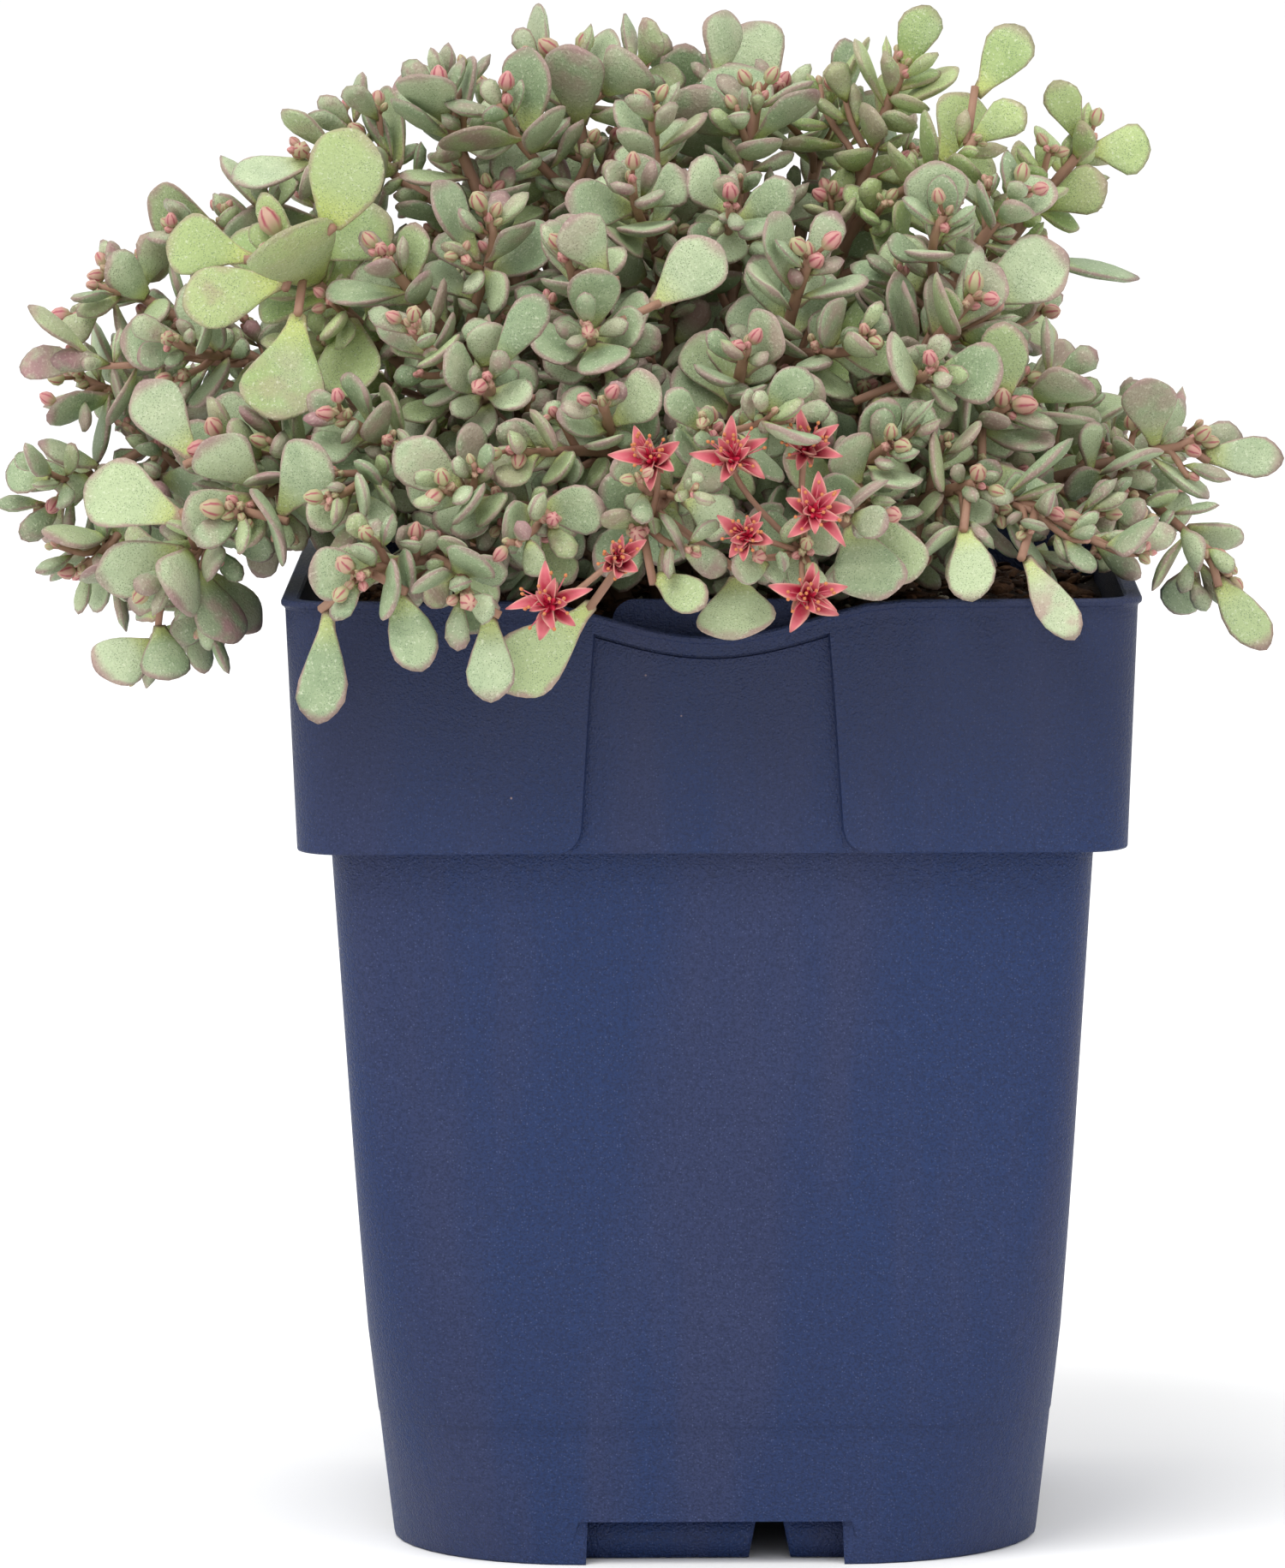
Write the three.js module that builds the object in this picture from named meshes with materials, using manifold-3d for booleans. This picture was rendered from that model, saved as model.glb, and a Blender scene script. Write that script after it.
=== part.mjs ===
// Potted lidakense stonecrop: a square plastic pot, its soil, forking leafy stems with
// heads of buds, and a few open blooms. Millimetres, +Z up, the pot's underside at z = 0,
// the pot's axis on x = y = 0, the side with the label slot facing -Y.

import * as THREE from 'three';
import { mergeVertices } from 'three/addons/utils/BufferGeometryUtils.js';
import Module from 'manifold-3d';

const wasm = await Module();
wasm.setup();

// Driving sizes of the pot
const potHeight = 138.4;
const rimHalf = 60;
const collarBottomZ = 102.8;
const collarBottomHalf = 58.1;
const bodyTopHalf = 53.4;
const bodyKneeZ = 33;
const bodyKneeHalf = 49.1;
const partingZ = 20;
const partingHalf = 47.9;
const baseHalf = 46.2;
const bodyBendZ = 50;
const topCornerRadius = 6.5;
const baseCornerRadius = 27.5;
const cornerGrowthZ = 60;
const cornerGrowthPower = 1.6;
const bodyWall = 1.4;
const collarWall = 2;
const lipHeight = 0.9;
const lipProud = 0.5;
const floorUnderZ = 6.3;
const floorTopZ = 7.8;
const ledgeTopZ = collarBottomZ + bodyWall;

// Driving sizes of the collar's recess, the label slot and the pot's foot
const recessDepth = 1;
const recessTopHalf = 16.1;
const recessBottomHalf = 18.1;
const recessCorner = 4.5;
const dipHalf = 25;
const dipDepth = 5;
const tabHalf = 13.8;
const tabBackY = -53.7;
const tabThick = 1.2;
const tabCorner = 3;
const notchTopHalf = 19.2;
const notchBottomHalf = 21;
const ringSetBack = 5;
const ringGapX = 7.5;
const ringGapHalf = 2.6;
const bossRadius = 6.5;
const drainRadius = 4.5;
const drainAt = 25;
const cornerSteps = 3;
const drainSides = 8;
const bossSides = 12;
const leastCorner = 2;
const cornerInsetShare = 0.6;
const dipPower = 1.5;
const dipSteps = 8;
const curveSteps = 3;

// Driving sizes of the soil
const clearance = 0.3;
const soilEdgeZ = 131.5;
const soilMound = [
  { z: 133.2, half: 50, radius: 8 },
  { z: 134.6, half: 36, radius: 12 },
  { z: 135.4, half: 18, radius: 9 },
];
const soilClearZ = 135.6;

// Driving sizes of the stems
const rootZ = 127;
const rootReach = { x: 0.37, y: 0.43 };
const rootSpacing = 6;
const spacingRounds = 60;
const crownHeart = new THREE.Vector3(-8, 0, 124);
const stemRadius = 1.15;
const branchRadius = 0.8;
const pedicelRadius = 0.55;
const stemSides = 4;
const stemSteps = 5;
const branchSteps = 2;
const leavingShare = 0.38;
const arrivingShare = 0.34;
const rimLiftBelowZ = 165;
const rimLiftShare = 0.3;
const forkBack = 0.34;
const holeSlack = 0.4;

// Driving sizes of the leaves and bracts: each range runs from least to most
const leafSides = 6;
const leafThick = 1.7;
const leafLength = [9.5, 13.5];
const leafWidthShare = [0.62, 0.84];
const leafLean = 0.78;
const leafLeanStep = 0.3;
const leafTwist = 0.8;
const leafSwing = 0.5;
const leafTilt = 0.3;
const leafTries = 6;
const retrySwing = 0.45;
const retryTilt = 0.2;
const retryShortening = 0.05;
const bractSides = 4;
const bractThick = 1.5;
const bractLength = [6.6, 8.8];
const bractWidthShare = [0.42, 0.55];
const bractLean = [0.45, 0.9];
const bractSink = 1.8;
const footPower = 0.75;
const footNarrowing = 0.8;
const widestShare = 0.88;
const wideBlade = 5;
const bigLeafFace = [0, -1, 0.35];
const stalkFrom = 4.5;
const stalkRadius = 0.65;
const stalkSides = 3;
const stalkOverlap = 1.8;

// Driving sizes of the buds and blooms
const budSides = 4;
const budLength = [4.2, 6.2];
const budRadius = [1.25, 1.6];
const budLean = [0.35, 0.75];
const budSwell = 0.66;
const budSink = 0.6;
const bloomReach = 5.6;
const petals = 5;
const petalWidth = 3;
const petalThick = 1.1;
const petalLean = 1.2;
const heartBack = 1.2;
const heartFront = 1.8;
const heartRadius = 1.3;

// What grows on a stem: the counts at its head, and how far back its pairs of leaves
// stand. A stem with several of the largest leaves, or one that ends in the crowded top
// of the crown, has one pair.
const mainHead = { buds: 2, bracts: 1 };
const sideHead = { buds: 1, bracts: 1 };
const mainBacks = [6.5, 15];
const sideBacks = [6.5];
const crowdedAboveZ = 195;
const wellLeavedFrom = 3;

// Room between grown things, and whose room is whose
const growGap = 0.35;
const roomCell = 8;
const potInnerClear = 52;
const guardStep = 2.5;
const headOwner = 1000;
const leafOwner = -1;
const bloomOwner = -2;

// Each stem has a head at every tip listed: x, y, z and the size of its leaves.
// The first tip ends the stem and the others end its side branches.
const stems = [
  { tips: [[28, 0, 210, 1.0], [38, -11, 200, 0.9]], tone: 'pale' },
  { tips: [[55, 4, 199, 0.9]], tone: 'pale' },
  { tips: [[44, -20, 193, 0.9], [33, -29, 190, 0.9]], tone: 'grey' },
  { tips: [[37, -36, 179, 1.0], [31, -50, 170, 0.9]], tone: 'grey' },
  { tips: [[7, -4, 206, 1.0], [3, -34, 192, 0.9]], tone: 'grey' },
  { tips: [[-8, -14, 205, 0.9], [-11, -28, 195, 1.0]], tone: 'grey' },
  { tips: [[-20, 4, 210, 1.1], [-30, -7, 205, 1.0]], tone: 'grey' },
  { tips: [[-39, 0, 206, 1.0], [-50, 6, 199, 1.0]], tone: 'grey' },
  { tips: [[-60, -26, 185, 1.3]], tone: 'pale' },
  { tips: [[-87, 4, 180, 0.9], [-77, -16, 172, 0.9]], tone: 'grey' },
  { tips: [[-92, 8, 165, 0.9], [-94, 2, 149, 0.9], [-91, -8, 138, 0.9]], tone: 'grey' },
  { tips: [[-46, -33, 185, 0.9], [-31, -32, 190, 1.0]], tone: 'grey' },
  { tips: [[-20, -42, 186, 0.9], [-17, -52, 176, 0.9]], tone: 'grey' },
  { tips: [[14, -42, 185, 1.0], [22, -48, 174, 0.9]], tone: 'grey' },
  { tips: [[-42, -46, 176, 0.9], [-31, -55, 169, 0.9]], tone: 'grey' },
  { tips: [[-15, -59, 166, 0.9], [-27, -63, 160, 0.9]], tone: 'grey' },
  { tips: [[5, -51, 173, 0.9], [11, -57, 164, 0.8]], tone: 'grey' },
  { tips: [[-52, -50, 164, 0.9], [-53, -61, 153, 0.9]], tone: 'grey' },
  { tips: [[-69, -38, 159, 1.0], [-67, -50, 150, 1.1], [-78, -44, 140, 1.0]], tone: 'grey' },
  { tips: [[-37, -68, 155, 0.9], [-22, -70, 150, 0.9]], tone: 'grey' },
  { tips: [[-49, -72, 143, 1.0], [-34, -76, 140, 1.0]], tone: 'grey' },
  { tips: [[0, -61, 162, 0.8], [-10, -70, 148, 0.9]], tone: 'grey' },
  { tips: [[13, -70, 146, 0.8]], tone: 'grey' },
  { tips: [[25, -58, 160, 0.9], [23, -66, 151, 1.0]], tone: 'grey' },
  { tips: [[42, -38, 164, 1.1], [50, -30, 168, 0.9]], tone: 'grey' },
  { tips: [[37, -52, 154, 0.9], [47, -50, 150, 1.0]], tone: 'grey' },
  { tips: [[69, -18, 157, 0.9], [59, -27, 150, 0.9], [72, -24, 141, 0.8]], tone: 'grey' },
  { tips: [[-6, 18, 208, 1.0], [6, 26, 203, 1.0]], tone: 'grey' },
  { tips: [[18, 20, 203, 1.0], [30, 14, 197, 0.9]], tone: 'grey' },
  { tips: [[-32, 20, 203, 1.0], [-23, 36, 192, 1.0]], tone: 'grey' },
  { tips: [[-59, 18, 192, 1.0], [-71, 8, 187, 0.9]], tone: 'grey' },
  { tips: [[39, 30, 181, 1.0], [48, 20, 173, 0.9]], tone: 'grey' },
  { tips: [[-46, 44, 180, 1.0], [-62, 36, 173, 1.0]], tone: 'grey' },
  { tips: [[-8, 46, 186, 1.0], [6, 53, 180, 0.9]], tone: 'grey' },
  { tips: [[24, 46, 180, 1.0], [37, 48, 170, 1.0]], tone: 'grey' },
  { tips: [[-24, 64, 164, 1.0], [-38, 60, 158, 0.9]], tone: 'grey' },
  { tips: [[3, 65, 162, 1.0], [16, 67, 154, 0.9]], tone: 'grey' },
  { tips: [[35, 63, 153, 1.0], [50, 54, 152, 0.9]], tone: 'grey' },
  { tips: [[-57, 57, 150, 1.0], [-69, 46, 153, 0.9]], tone: 'grey' },
  { tips: [[58, 38, 154, 1.0], [67, 24, 147, 0.9]], tone: 'grey' },
  { tips: [[-86, 24, 162, 0.9], [-81, 34, 148, 0.9]], tone: 'grey' },
];

// The largest leaves: the stem that carries each, its foot, its tip and its width. They
// face the label side, or the way given.
const bigLeaves = [
  { stem: 9, foot: [-53, -34, 189], tip: [-49, -36, 202], width: 11.4 },
  { stem: 9, foot: [-60, -30, 180], tip: [-74, -31, 179], width: 9.4 },
  { stem: 9, foot: [-58, -36, 177], tip: [-60, -44, 163], width: 11.8 },
  { stem: 9, foot: [-66, -26, 184], tip: [-76, -24, 187], width: 9.1 },
  { stem: 9, foot: [-57, -28, 184], tip: [-46, -26, 190], width: 9.7 },
  { stem: 1, foot: [38, -6, 207], tip: [45, -6, 215], width: 7.6 },
  { stem: 1, foot: [29, -2, 211], tip: [31, -2, 218], width: 6.4 },
  { stem: 1, foot: [37, -12, 200], tip: [44, -14, 205], width: 5.9 },
  { stem: 2, foot: [54, 2, 199], tip: [50, 0, 207], width: 5.6 },
  { stem: 2, foot: [55, 4, 198], tip: [63, 2, 198], width: 7.7 },
  { stem: 2, foot: [48, 0, 189], tip: [56, -2, 193], width: 7.4 },
  { stem: 3, foot: [39, -24, 177], tip: [50, -24, 184], width: 9.9 },
  { stem: 3, foot: [47, -10, 183], tip: [60, 2, 179], width: 7.4, face: [0.2, -0.3, 1] },
  { stem: 4, foot: [20, -46, 165], tip: [31, -50, 161], width: 7.2 },
  { stem: 25, foot: [43, -38, 164], tip: [42, -41, 175], width: 7.2 },
  { stem: 25, foot: [38, -40, 155], tip: [48, -46, 149], width: 7.2 },
  { stem: 27, foot: [63, -20, 155], tip: [62, -24, 166], width: 8.0 },
  { stem: 27, foot: [71, -18, 154], tip: [81, -17, 155], width: 6.3 },
  { stem: 27, foot: [72, -26, 137], tip: [78, -30, 129], width: 6.1 },
  { stem: 26, foot: [43, -58, 144], tip: [49, -68, 134], width: 5.9 },
  { stem: 26, foot: [35, -58, 148], tip: [37, -67, 139], width: 7.1 },
  { stem: 19, foot: [-74, -46, 150], tip: [-87, -44, 154], width: 10.3 },
  { stem: 19, foot: [-74, -40, 156], tip: [-80, -38, 167], width: 7.9 },
  { stem: 19, foot: [-59, -52, 149], tip: [-54, -56, 160], width: 9.0 },
  { stem: 21, foot: [-54, -66, 138], tip: [-54, -68, 123], width: 7.1 },
  { stem: 21, foot: [-29, -75, 138], tip: [-30, -78, 127], width: 6.6 },
  { stem: 22, foot: [-17, -67, 138], tip: [-28, -73, 128], width: 10.2 },
  { stem: 21, foot: [-42, -72, 141], tip: [-40, -75, 131], width: 7.0 },
  { stem: 22, foot: [-8, -72, 142], tip: [-1, -79, 140], width: 5.9 },
  { stem: 22, foot: [5, -64, 142], tip: [4, -73, 134], width: 11.2 },
  { stem: 24, foot: [18, -62, 149], tip: [22, -70, 140], width: 9.9 },
  { stem: 13, foot: [-7, -46, 179], tip: [1, -48, 187], width: 9.1 },
  { stem: 13, foot: [-13, -44, 182], tip: [-19, -46, 191], width: 7.7 },
  { stem: 15, foot: [-27, -54, 170], tip: [-24, -56, 181], width: 5.9 },
  { stem: 11, foot: [-92, 4, 154], tip: [-101, 6, 151], width: 5.4 },
];

// Each open bloom: the stem that carries it, its centre, and the way it faces.
const blooms = [
  { stem: 22, at: [-8, -72, 159], facing: [-0.2, -0.9, 0.4] },
  { stem: 23, at: [3, -72, 159], facing: [0.0, -0.9, 0.5] },
  { stem: 23, at: [5, -77, 149], facing: [-0.1, -1.0, 0.1] },
  { stem: 23, at: [14, -77, 152], facing: [0.2, -0.9, 0.3] },
  { stem: 23, at: [13, -79, 141], facing: [0.1, -1.0, 0.0] },
  { stem: 22, at: [-22, -80, 140], facing: [-0.2, -1.0, 0.1] },
  { stem: 22, at: [-13, -79, 146], facing: [0.1, -1.0, 0.2] },
  { stem: 23, at: [13, -70, 160], facing: [0.1, -0.9, 0.6] },
];

// Colours and finishes
const finishes = {
  pot: { color: 0x37416a, roughness: 0.55, metalness: 0 },
  soil: { color: 0x2e2019, roughness: 0.95, metalness: 0 },
  grey: { color: 0x8ba086, roughness: 0.6, metalness: 0 },
  pale: { color: 0xa2b878, roughness: 0.6, metalness: 0 },
  bloom: { color: 0xc03a5a, roughness: 0.55, metalness: 0 },
};

const up = new THREE.Vector3(0, 0, 1);

// Geometry and solids

// A closed geometry as a solid. Faces that have shrunk to a line are dropped.
function solidFrom(geometry) {
  geometry.deleteAttribute('normal');
  geometry.deleteAttribute('uv');
  const merged = mergeVertices(geometry, 1e-4);
  const corners = [];
  for (let start = 0; start < merged.index.count; start += 3) {
    const face = [0, 1, 2].map((corner) => merged.index.getX(start + corner));
    if (new Set(face).size === 3) corners.push(...face);
  }
  const mesh = new wasm.Mesh({
    numProp: 3,
    vertProperties: Float32Array.from(merged.attributes.position.array),
    triVerts: Uint32Array.from(corners),
  });
  return new wasm.Manifold(mesh);
}

function geometryFrom(solid) {
  const mesh = solid.getMesh();
  const geometry = new THREE.BufferGeometry();
  geometry.setAttribute('position', new THREE.BufferAttribute(mesh.vertProperties, 3));
  geometry.setIndex(new THREE.BufferAttribute(mesh.triVerts, 1));
  geometry.computeVertexNormals();
  return geometry;
}

function joined(solids) {
  return solids.reduce((whole, piece) => whole.add(piece));
}

// The largest body of a joined solid, without the scraps that a joint can leave.
function withoutScraps(solid) {
  const bodies = solid.decompose();
  return bodies.reduce((most, body) => (body.volume() > most.volume() ? body : most));
}

function boxSolid(low, high) {
  const size = high.map((value, axis) => value - low[axis]);
  const geometry = new THREE.BoxGeometry(...size);
  geometry.translate(low[0] + size[0] / 2, low[1] + size[1] / 2, low[2] + size[2] / 2);
  return solidFrom(geometry);
}

function postSolid(x, y, radius, lowZ, highZ, sides) {
  const geometry = new THREE.CylinderGeometry(radius, radius, highZ - lowZ, sides);
  geometry.rotateX(Math.PI / 2);
  geometry.translate(x, y, (lowZ + highZ) / 2);
  return solidFrom(geometry);
}

// A square with rounded corners, as points in anticlockwise order.
function roundedSquare(half, radius) {
  const points = [];
  for (let corner = 0; corner < 4; corner += 1) {
    const middle = (corner + 0.5) * Math.PI / 2;
    const centreX = Math.sign(Math.cos(middle)) * (half - radius);
    const centreY = Math.sign(Math.sin(middle)) * (half - radius);
    for (let step = 0; step <= cornerSteps; step += 1) {
      const angle = (corner + step / cornerSteps) * Math.PI / 2;
      points.push([centreX + radius * Math.cos(angle), centreY + radius * Math.sin(angle)]);
    }
  }
  return points;
}

// A solid whose level sections are rounded squares: a cylinder with its rings moved out
// to the sections, from the lowest level to the highest.
function loftSolid(levels) {
  const sides = 4 * (cornerSteps + 1);
  const bands = levels.length - 1;
  const geometry = new THREE.CylinderGeometry(1, 1, 1, sides, bands);
  const outlines = levels.map((level) => roundedSquare(level.half, level.radius));
  const position = geometry.attributes.position;
  for (let index = 0; index < position.count; index += 1) {
    const level = Math.round((position.getY(index) + 0.5) * bands);
    const x = position.getX(index);
    const y = position.getZ(index);
    const side = Math.round(Math.atan2(x, y) / (2 * Math.PI) * sides + sides) % sides;
    const onAxis = Math.hypot(x, y) < 0.5;
    const point = onAxis ? [0, 0] : outlines[level][side];
    position.setXYZ(index, point[0], point[1], levels[level].z);
  }
  return solidFrom(geometry);
}

// The pot

function cornerRadius(z) {
  const low = Math.max(0, 1 - z / cornerGrowthZ);
  return topCornerRadius + (baseCornerRadius - topCornerRadius) * low ** cornerGrowthPower;
}

function bodyHalf(z) {
  const heights = [0, partingZ, bodyKneeZ, collarBottomZ];
  const halves = [baseHalf, partingHalf, bodyKneeHalf, bodyTopHalf];
  let part = 1;
  while (part < heights.length - 1 && z > heights[part]) part += 1;
  const share = (z - heights[part - 1]) / (heights[part] - heights[part - 1]);
  return THREE.MathUtils.lerp(halves[part - 1], halves[part], share);
}

function collarHalf(z) {
  const share = (z - collarBottomZ) / (potHeight - collarBottomZ);
  return THREE.MathUtils.lerp(collarBottomHalf, rimHalf - lipProud, share);
}

function section(z, half, inset) {
  const radius = Math.max(leastCorner, cornerRadius(z) - inset * cornerInsetShare);
  return { z, half: half - inset, radius };
}

function bodyLevels(heights, inset) {
  return heights.map((z) => section(z, bodyHalf(z), inset));
}

function onFourSides(solid) {
  return [0, 90, 180, 270].map((turn) => solid.rotate([0, 0, turn]));
}

// The middle panel of a collar side, cut back by the recess's depth along the slope.
function recessTool() {
  const shape = new THREE.Shape();
  const topZ = potHeight + 1;
  const cornerZ = collarBottomZ + recessCorner;
  const wide = recessBottomHalf + recessCorner;
  shape.moveTo(recessTopHalf, topZ);
  shape.lineTo(-recessTopHalf, topZ);
  shape.lineTo(-recessBottomHalf, cornerZ);
  shape.quadraticCurveTo(-recessBottomHalf, collarBottomZ, -wide, collarBottomZ - 0.01);
  shape.lineTo(-wide, collarBottomZ - 1);
  shape.lineTo(wide, collarBottomZ - 1);
  shape.lineTo(wide, collarBottomZ - 0.01);
  shape.quadraticCurveTo(recessBottomHalf, collarBottomZ, recessBottomHalf, cornerZ);
  const geometry = new THREE.ExtrudeGeometry(shape, {
    depth: 1, bevelEnabled: false, curveSegments: curveSteps,
  });
  const position = geometry.attributes.position;
  for (let index = 0; index < position.count; index += 1) {
    const z = position.getY(index);
    const outer = position.getZ(index) > 0.5;
    const y = outer ? -rimHalf - 4 : -(collarHalf(z) - recessDepth);
    position.setXYZ(index, position.getX(index), y, z);
  }
  return solidFrom(geometry);
}

// The dip in the rim above the label slot.
function dipTool() {
  const shape = new THREE.Shape();
  shape.moveTo(dipHalf, potHeight + 2);
  shape.lineTo(-dipHalf, potHeight + 2);
  for (let step = 0; step <= dipSteps; step += 1) {
    const x = THREE.MathUtils.lerp(-dipHalf, dipHalf, step / dipSteps);
    const bowl = Math.max(0, Math.cos(Math.PI * x / (2 * dipHalf))) ** dipPower;
    shape.lineTo(x, potHeight - dipDepth * bowl);
  }
  const geometry = new THREE.ExtrudeGeometry(shape, { depth: 5, bevelEnabled: false });
  geometry.rotateX(Math.PI / 2);
  geometry.translate(0, -rimHalf + 4, 0);
  return solidFrom(geometry);
}

// The upright tab behind the dip, standing on the ledge between body and collar.
function tabSolid() {
  const shape = new THREE.Shape();
  const topZ = potHeight - 0.2;
  shape.moveTo(-tabHalf, ledgeTopZ - 0.8);
  shape.lineTo(tabHalf, ledgeTopZ - 0.8);
  shape.lineTo(tabHalf, topZ - tabCorner);
  shape.quadraticCurveTo(tabHalf, topZ, tabHalf - tabCorner, topZ);
  shape.lineTo(tabCorner - tabHalf, topZ);
  shape.quadraticCurveTo(-tabHalf, topZ, -tabHalf, topZ - tabCorner);
  const geometry = new THREE.ExtrudeGeometry(shape, {
    depth: tabThick, bevelEnabled: false, curveSegments: curveSteps,
  });
  geometry.rotateX(Math.PI / 2);
  geometry.translate(0, tabBackY, 0);
  return solidFrom(geometry);
}

function notchTool() {
  const shape = new THREE.Shape();
  shape.moveTo(-notchBottomHalf - 0.3, -1);
  shape.lineTo(notchBottomHalf + 0.3, -1);
  shape.lineTo(notchTopHalf, floorUnderZ);
  shape.lineTo(-notchTopHalf, floorUnderZ);
  const depth = ringSetBack - 0.5;
  const geometry = new THREE.ExtrudeGeometry(shape, { depth, bevelEnabled: false });
  geometry.rotateX(Math.PI / 2);
  geometry.translate(0, -baseHalf + depth - 1.5, 0);
  return solidFrom(geometry);
}

function ringWall() {
  const outer = loftSolid([
    section(0, baseHalf, ringSetBack),
    section(floorUnderZ + 0.5, baseHalf, ringSetBack),
  ]);
  const inner = loftSolid([
    section(-1, baseHalf, ringSetBack + bodyWall),
    section(floorUnderZ + 1, baseHalf, ringSetBack + bodyWall),
  ]);
  const gap = boxSolid(
    [ringGapX - ringGapHalf, -baseHalf, -1],
    [ringGapX + ringGapHalf, -baseHalf + ringSetBack + 4, floorUnderZ],
  );
  return outer.subtract(inner).subtract(joined(onFourSides(gap)));
}

function potSolid() {
  const bodyHeights = [0, partingZ, bodyKneeZ, bodyBendZ, collarBottomZ + 1];
  const body = loftSolid(bodyLevels(bodyHeights, 0));
  const lipZ = potHeight - lipHeight;
  const collar = loftSolid([
    section(collarBottomZ, collarBottomHalf, 0),
    section(lipZ - lipProud, collarHalf(lipZ), 0),
    section(lipZ, rimHalf, 0),
    section(potHeight, rimHalf, 0.2),
  ]);
  const innerHeights = [floorTopZ, partingZ, bodyBendZ, ledgeTopZ + 1];
  const innerBody = loftSolid(bodyLevels(innerHeights, bodyWall));
  const innerCollar = loftSolid([
    section(ledgeTopZ, collarBottomHalf, collarWall),
    section(potHeight + 1, rimHalf - lipProud, collarWall),
  ]);
  const underside = loftSolid(bodyLevels([-1, floorUnderZ], bodyWall));
  const shell = body.add(collar).subtract(innerBody.add(innerCollar)).subtract(underside);
  const foot = ringWall().add(postSolid(0, 0, bossRadius, 0, floorUnderZ + 0.5, bossSides));
  const drains = [-drainAt, drainAt].flatMap((x) => [-drainAt, drainAt].map(
    (y) => postSolid(x, y, drainRadius, 0, floorTopZ + 2, drainSides),
  ));
  return shell
    .subtract(joined(onFourSides(recessTool())))
    .subtract(joined(onFourSides(notchTool())))
    .subtract(dipTool())
    .add(foot)
    .add(tabSolid())
    .subtract(joined(drains));
}

// The soil, before the holes for the stems

function soilSolid() {
  const inset = bodyWall + clearance;
  const collarInset = collarWall + clearance;
  const stepZ = ledgeTopZ + clearance;
  const heights = [floorTopZ + clearance, partingZ, stepZ];
  const levels = bodyLevels(heights, inset);
  levels.push(section(stepZ, collarHalf(stepZ), collarInset));
  levels.push(section(soilEdgeZ, collarHalf(soilEdgeZ), collarInset));
  levels.push(...soilMound);
  const pocket = boxSolid(
    [-tabHalf - clearance, -rimHalf, ledgeTopZ],
    [tabHalf + clearance, tabBackY + clearance, potHeight],
  );
  return loftSolid(levels).subtract(pocket);
}

// Random draws, the same on every run: a seed gives a stream of numbers from 0 to 1.
function drawsFrom(seed) {
  let state = seed >>> 0;
  return () => {
    state = (Math.imul(state, 1664525) + 1013904223) >>> 0;
    return state / 4294967296;
  };
}

function drawn(range, draw) {
  return THREE.MathUtils.lerp(range[0], range[1], draw());
}

// Where each stem stands: under its tips, drawn in towards the crown, then pushed apart.
function rootPlaces() {
  const roots = stems.map((stem) => {
    const middle = new THREE.Vector3();
    stem.tips.forEach((tip) => middle.add(new THREE.Vector3(tip[0], tip[1], 0)));
    middle.divideScalar(stem.tips.length);
    return new THREE.Vector3(middle.x * rootReach.x, middle.y * rootReach.y, rootZ);
  });
  for (let round = 0; round < spacingRounds; round += 1) {
    for (let first = 0; first < roots.length; first += 1) {
      for (let second = first + 1; second < roots.length; second += 1) {
        const apart = roots[first].clone().sub(roots[second]);
        const distance = Math.max(apart.length(), 0.01);
        if (distance < rootSpacing) {
          apart.multiplyScalar((rootSpacing - distance) / distance / 2);
          roots[first].add(apart);
          roots[second].sub(apart);
        }
      }
    }
  }
  return roots;
}

function vectorOf(list) {
  return new THREE.Vector3(list[0], list[1], list[2]);
}

// The way a tip points: away from the crown's heart.
function tipFacing(tip) {
  return tip.clone().sub(crownHeart).normalize();
}

// A stem or branch from one point to another: it leaves along one way and arrives along
// another. Low tips are reached from above, so that the course clears the rim.
function courseOf(from, leaving, to, arriving) {
  const span = from.distanceTo(to);
  const rimLift = Math.max(0, rimLiftBelowZ - to.z) * rimLiftShare;
  const first = from.clone().addScaledVector(leaving, span * leavingShare);
  const second = to.clone().addScaledVector(arriving, -span * arrivingShare);
  second.z += rimLift;
  return new THREE.CubicBezierCurve3(from, first, second, to);
}

function circleShape(radius, sides) {
  const points = [];
  for (let side = 0; side < sides; side += 1) {
    const angle = side / sides * 2 * Math.PI;
    points.push(new THREE.Vector2(radius * Math.cos(angle), radius * Math.sin(angle)));
  }
  return new THREE.Shape(points);
}

function tubeSolid(course, radius, steps, sides) {
  const geometry = new THREE.ExtrudeGeometry(circleShape(radius, sides), {
    extrudePath: course, steps, bevelEnabled: false,
  });
  return solidFrom(geometry);
}

// Leaves, bracts and petals

// A blade is a low cone of a few sides drawn out along the leaf: its rim becomes the
// outline, narrow at the foot and round at the tip, its base the flat upper face, and
// its apex the keel under the leaf. The middle of the base moves to a corner beside the
// foot, so that no edge of the flat face runs into the stem.
function bladePoint(blade, along, across, below) {
  const reach = Math.max(0, (along + 1) / 2) ** footPower;
  const side = across * reach ** footNarrowing / widestShare * blade.width / 2;
  return blade.base.clone()
    .addScaledVector(blade.way, blade.length * reach)
    .addScaledVector(blade.sideways, side)
    .addScaledVector(blade.face, -below * blade.thick);
}

// A blade from a base point along a way, with its upper face turned to face.
function bladeAt(base, way, face, sizes) {
  const ahead = way.clone().normalize();
  const flat = face.clone().addScaledVector(ahead, -face.dot(ahead)).normalize();
  const sideways = flat.clone().cross(ahead);
  return { base, way: ahead, face: flat, sideways, ...sizes };
}

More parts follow.
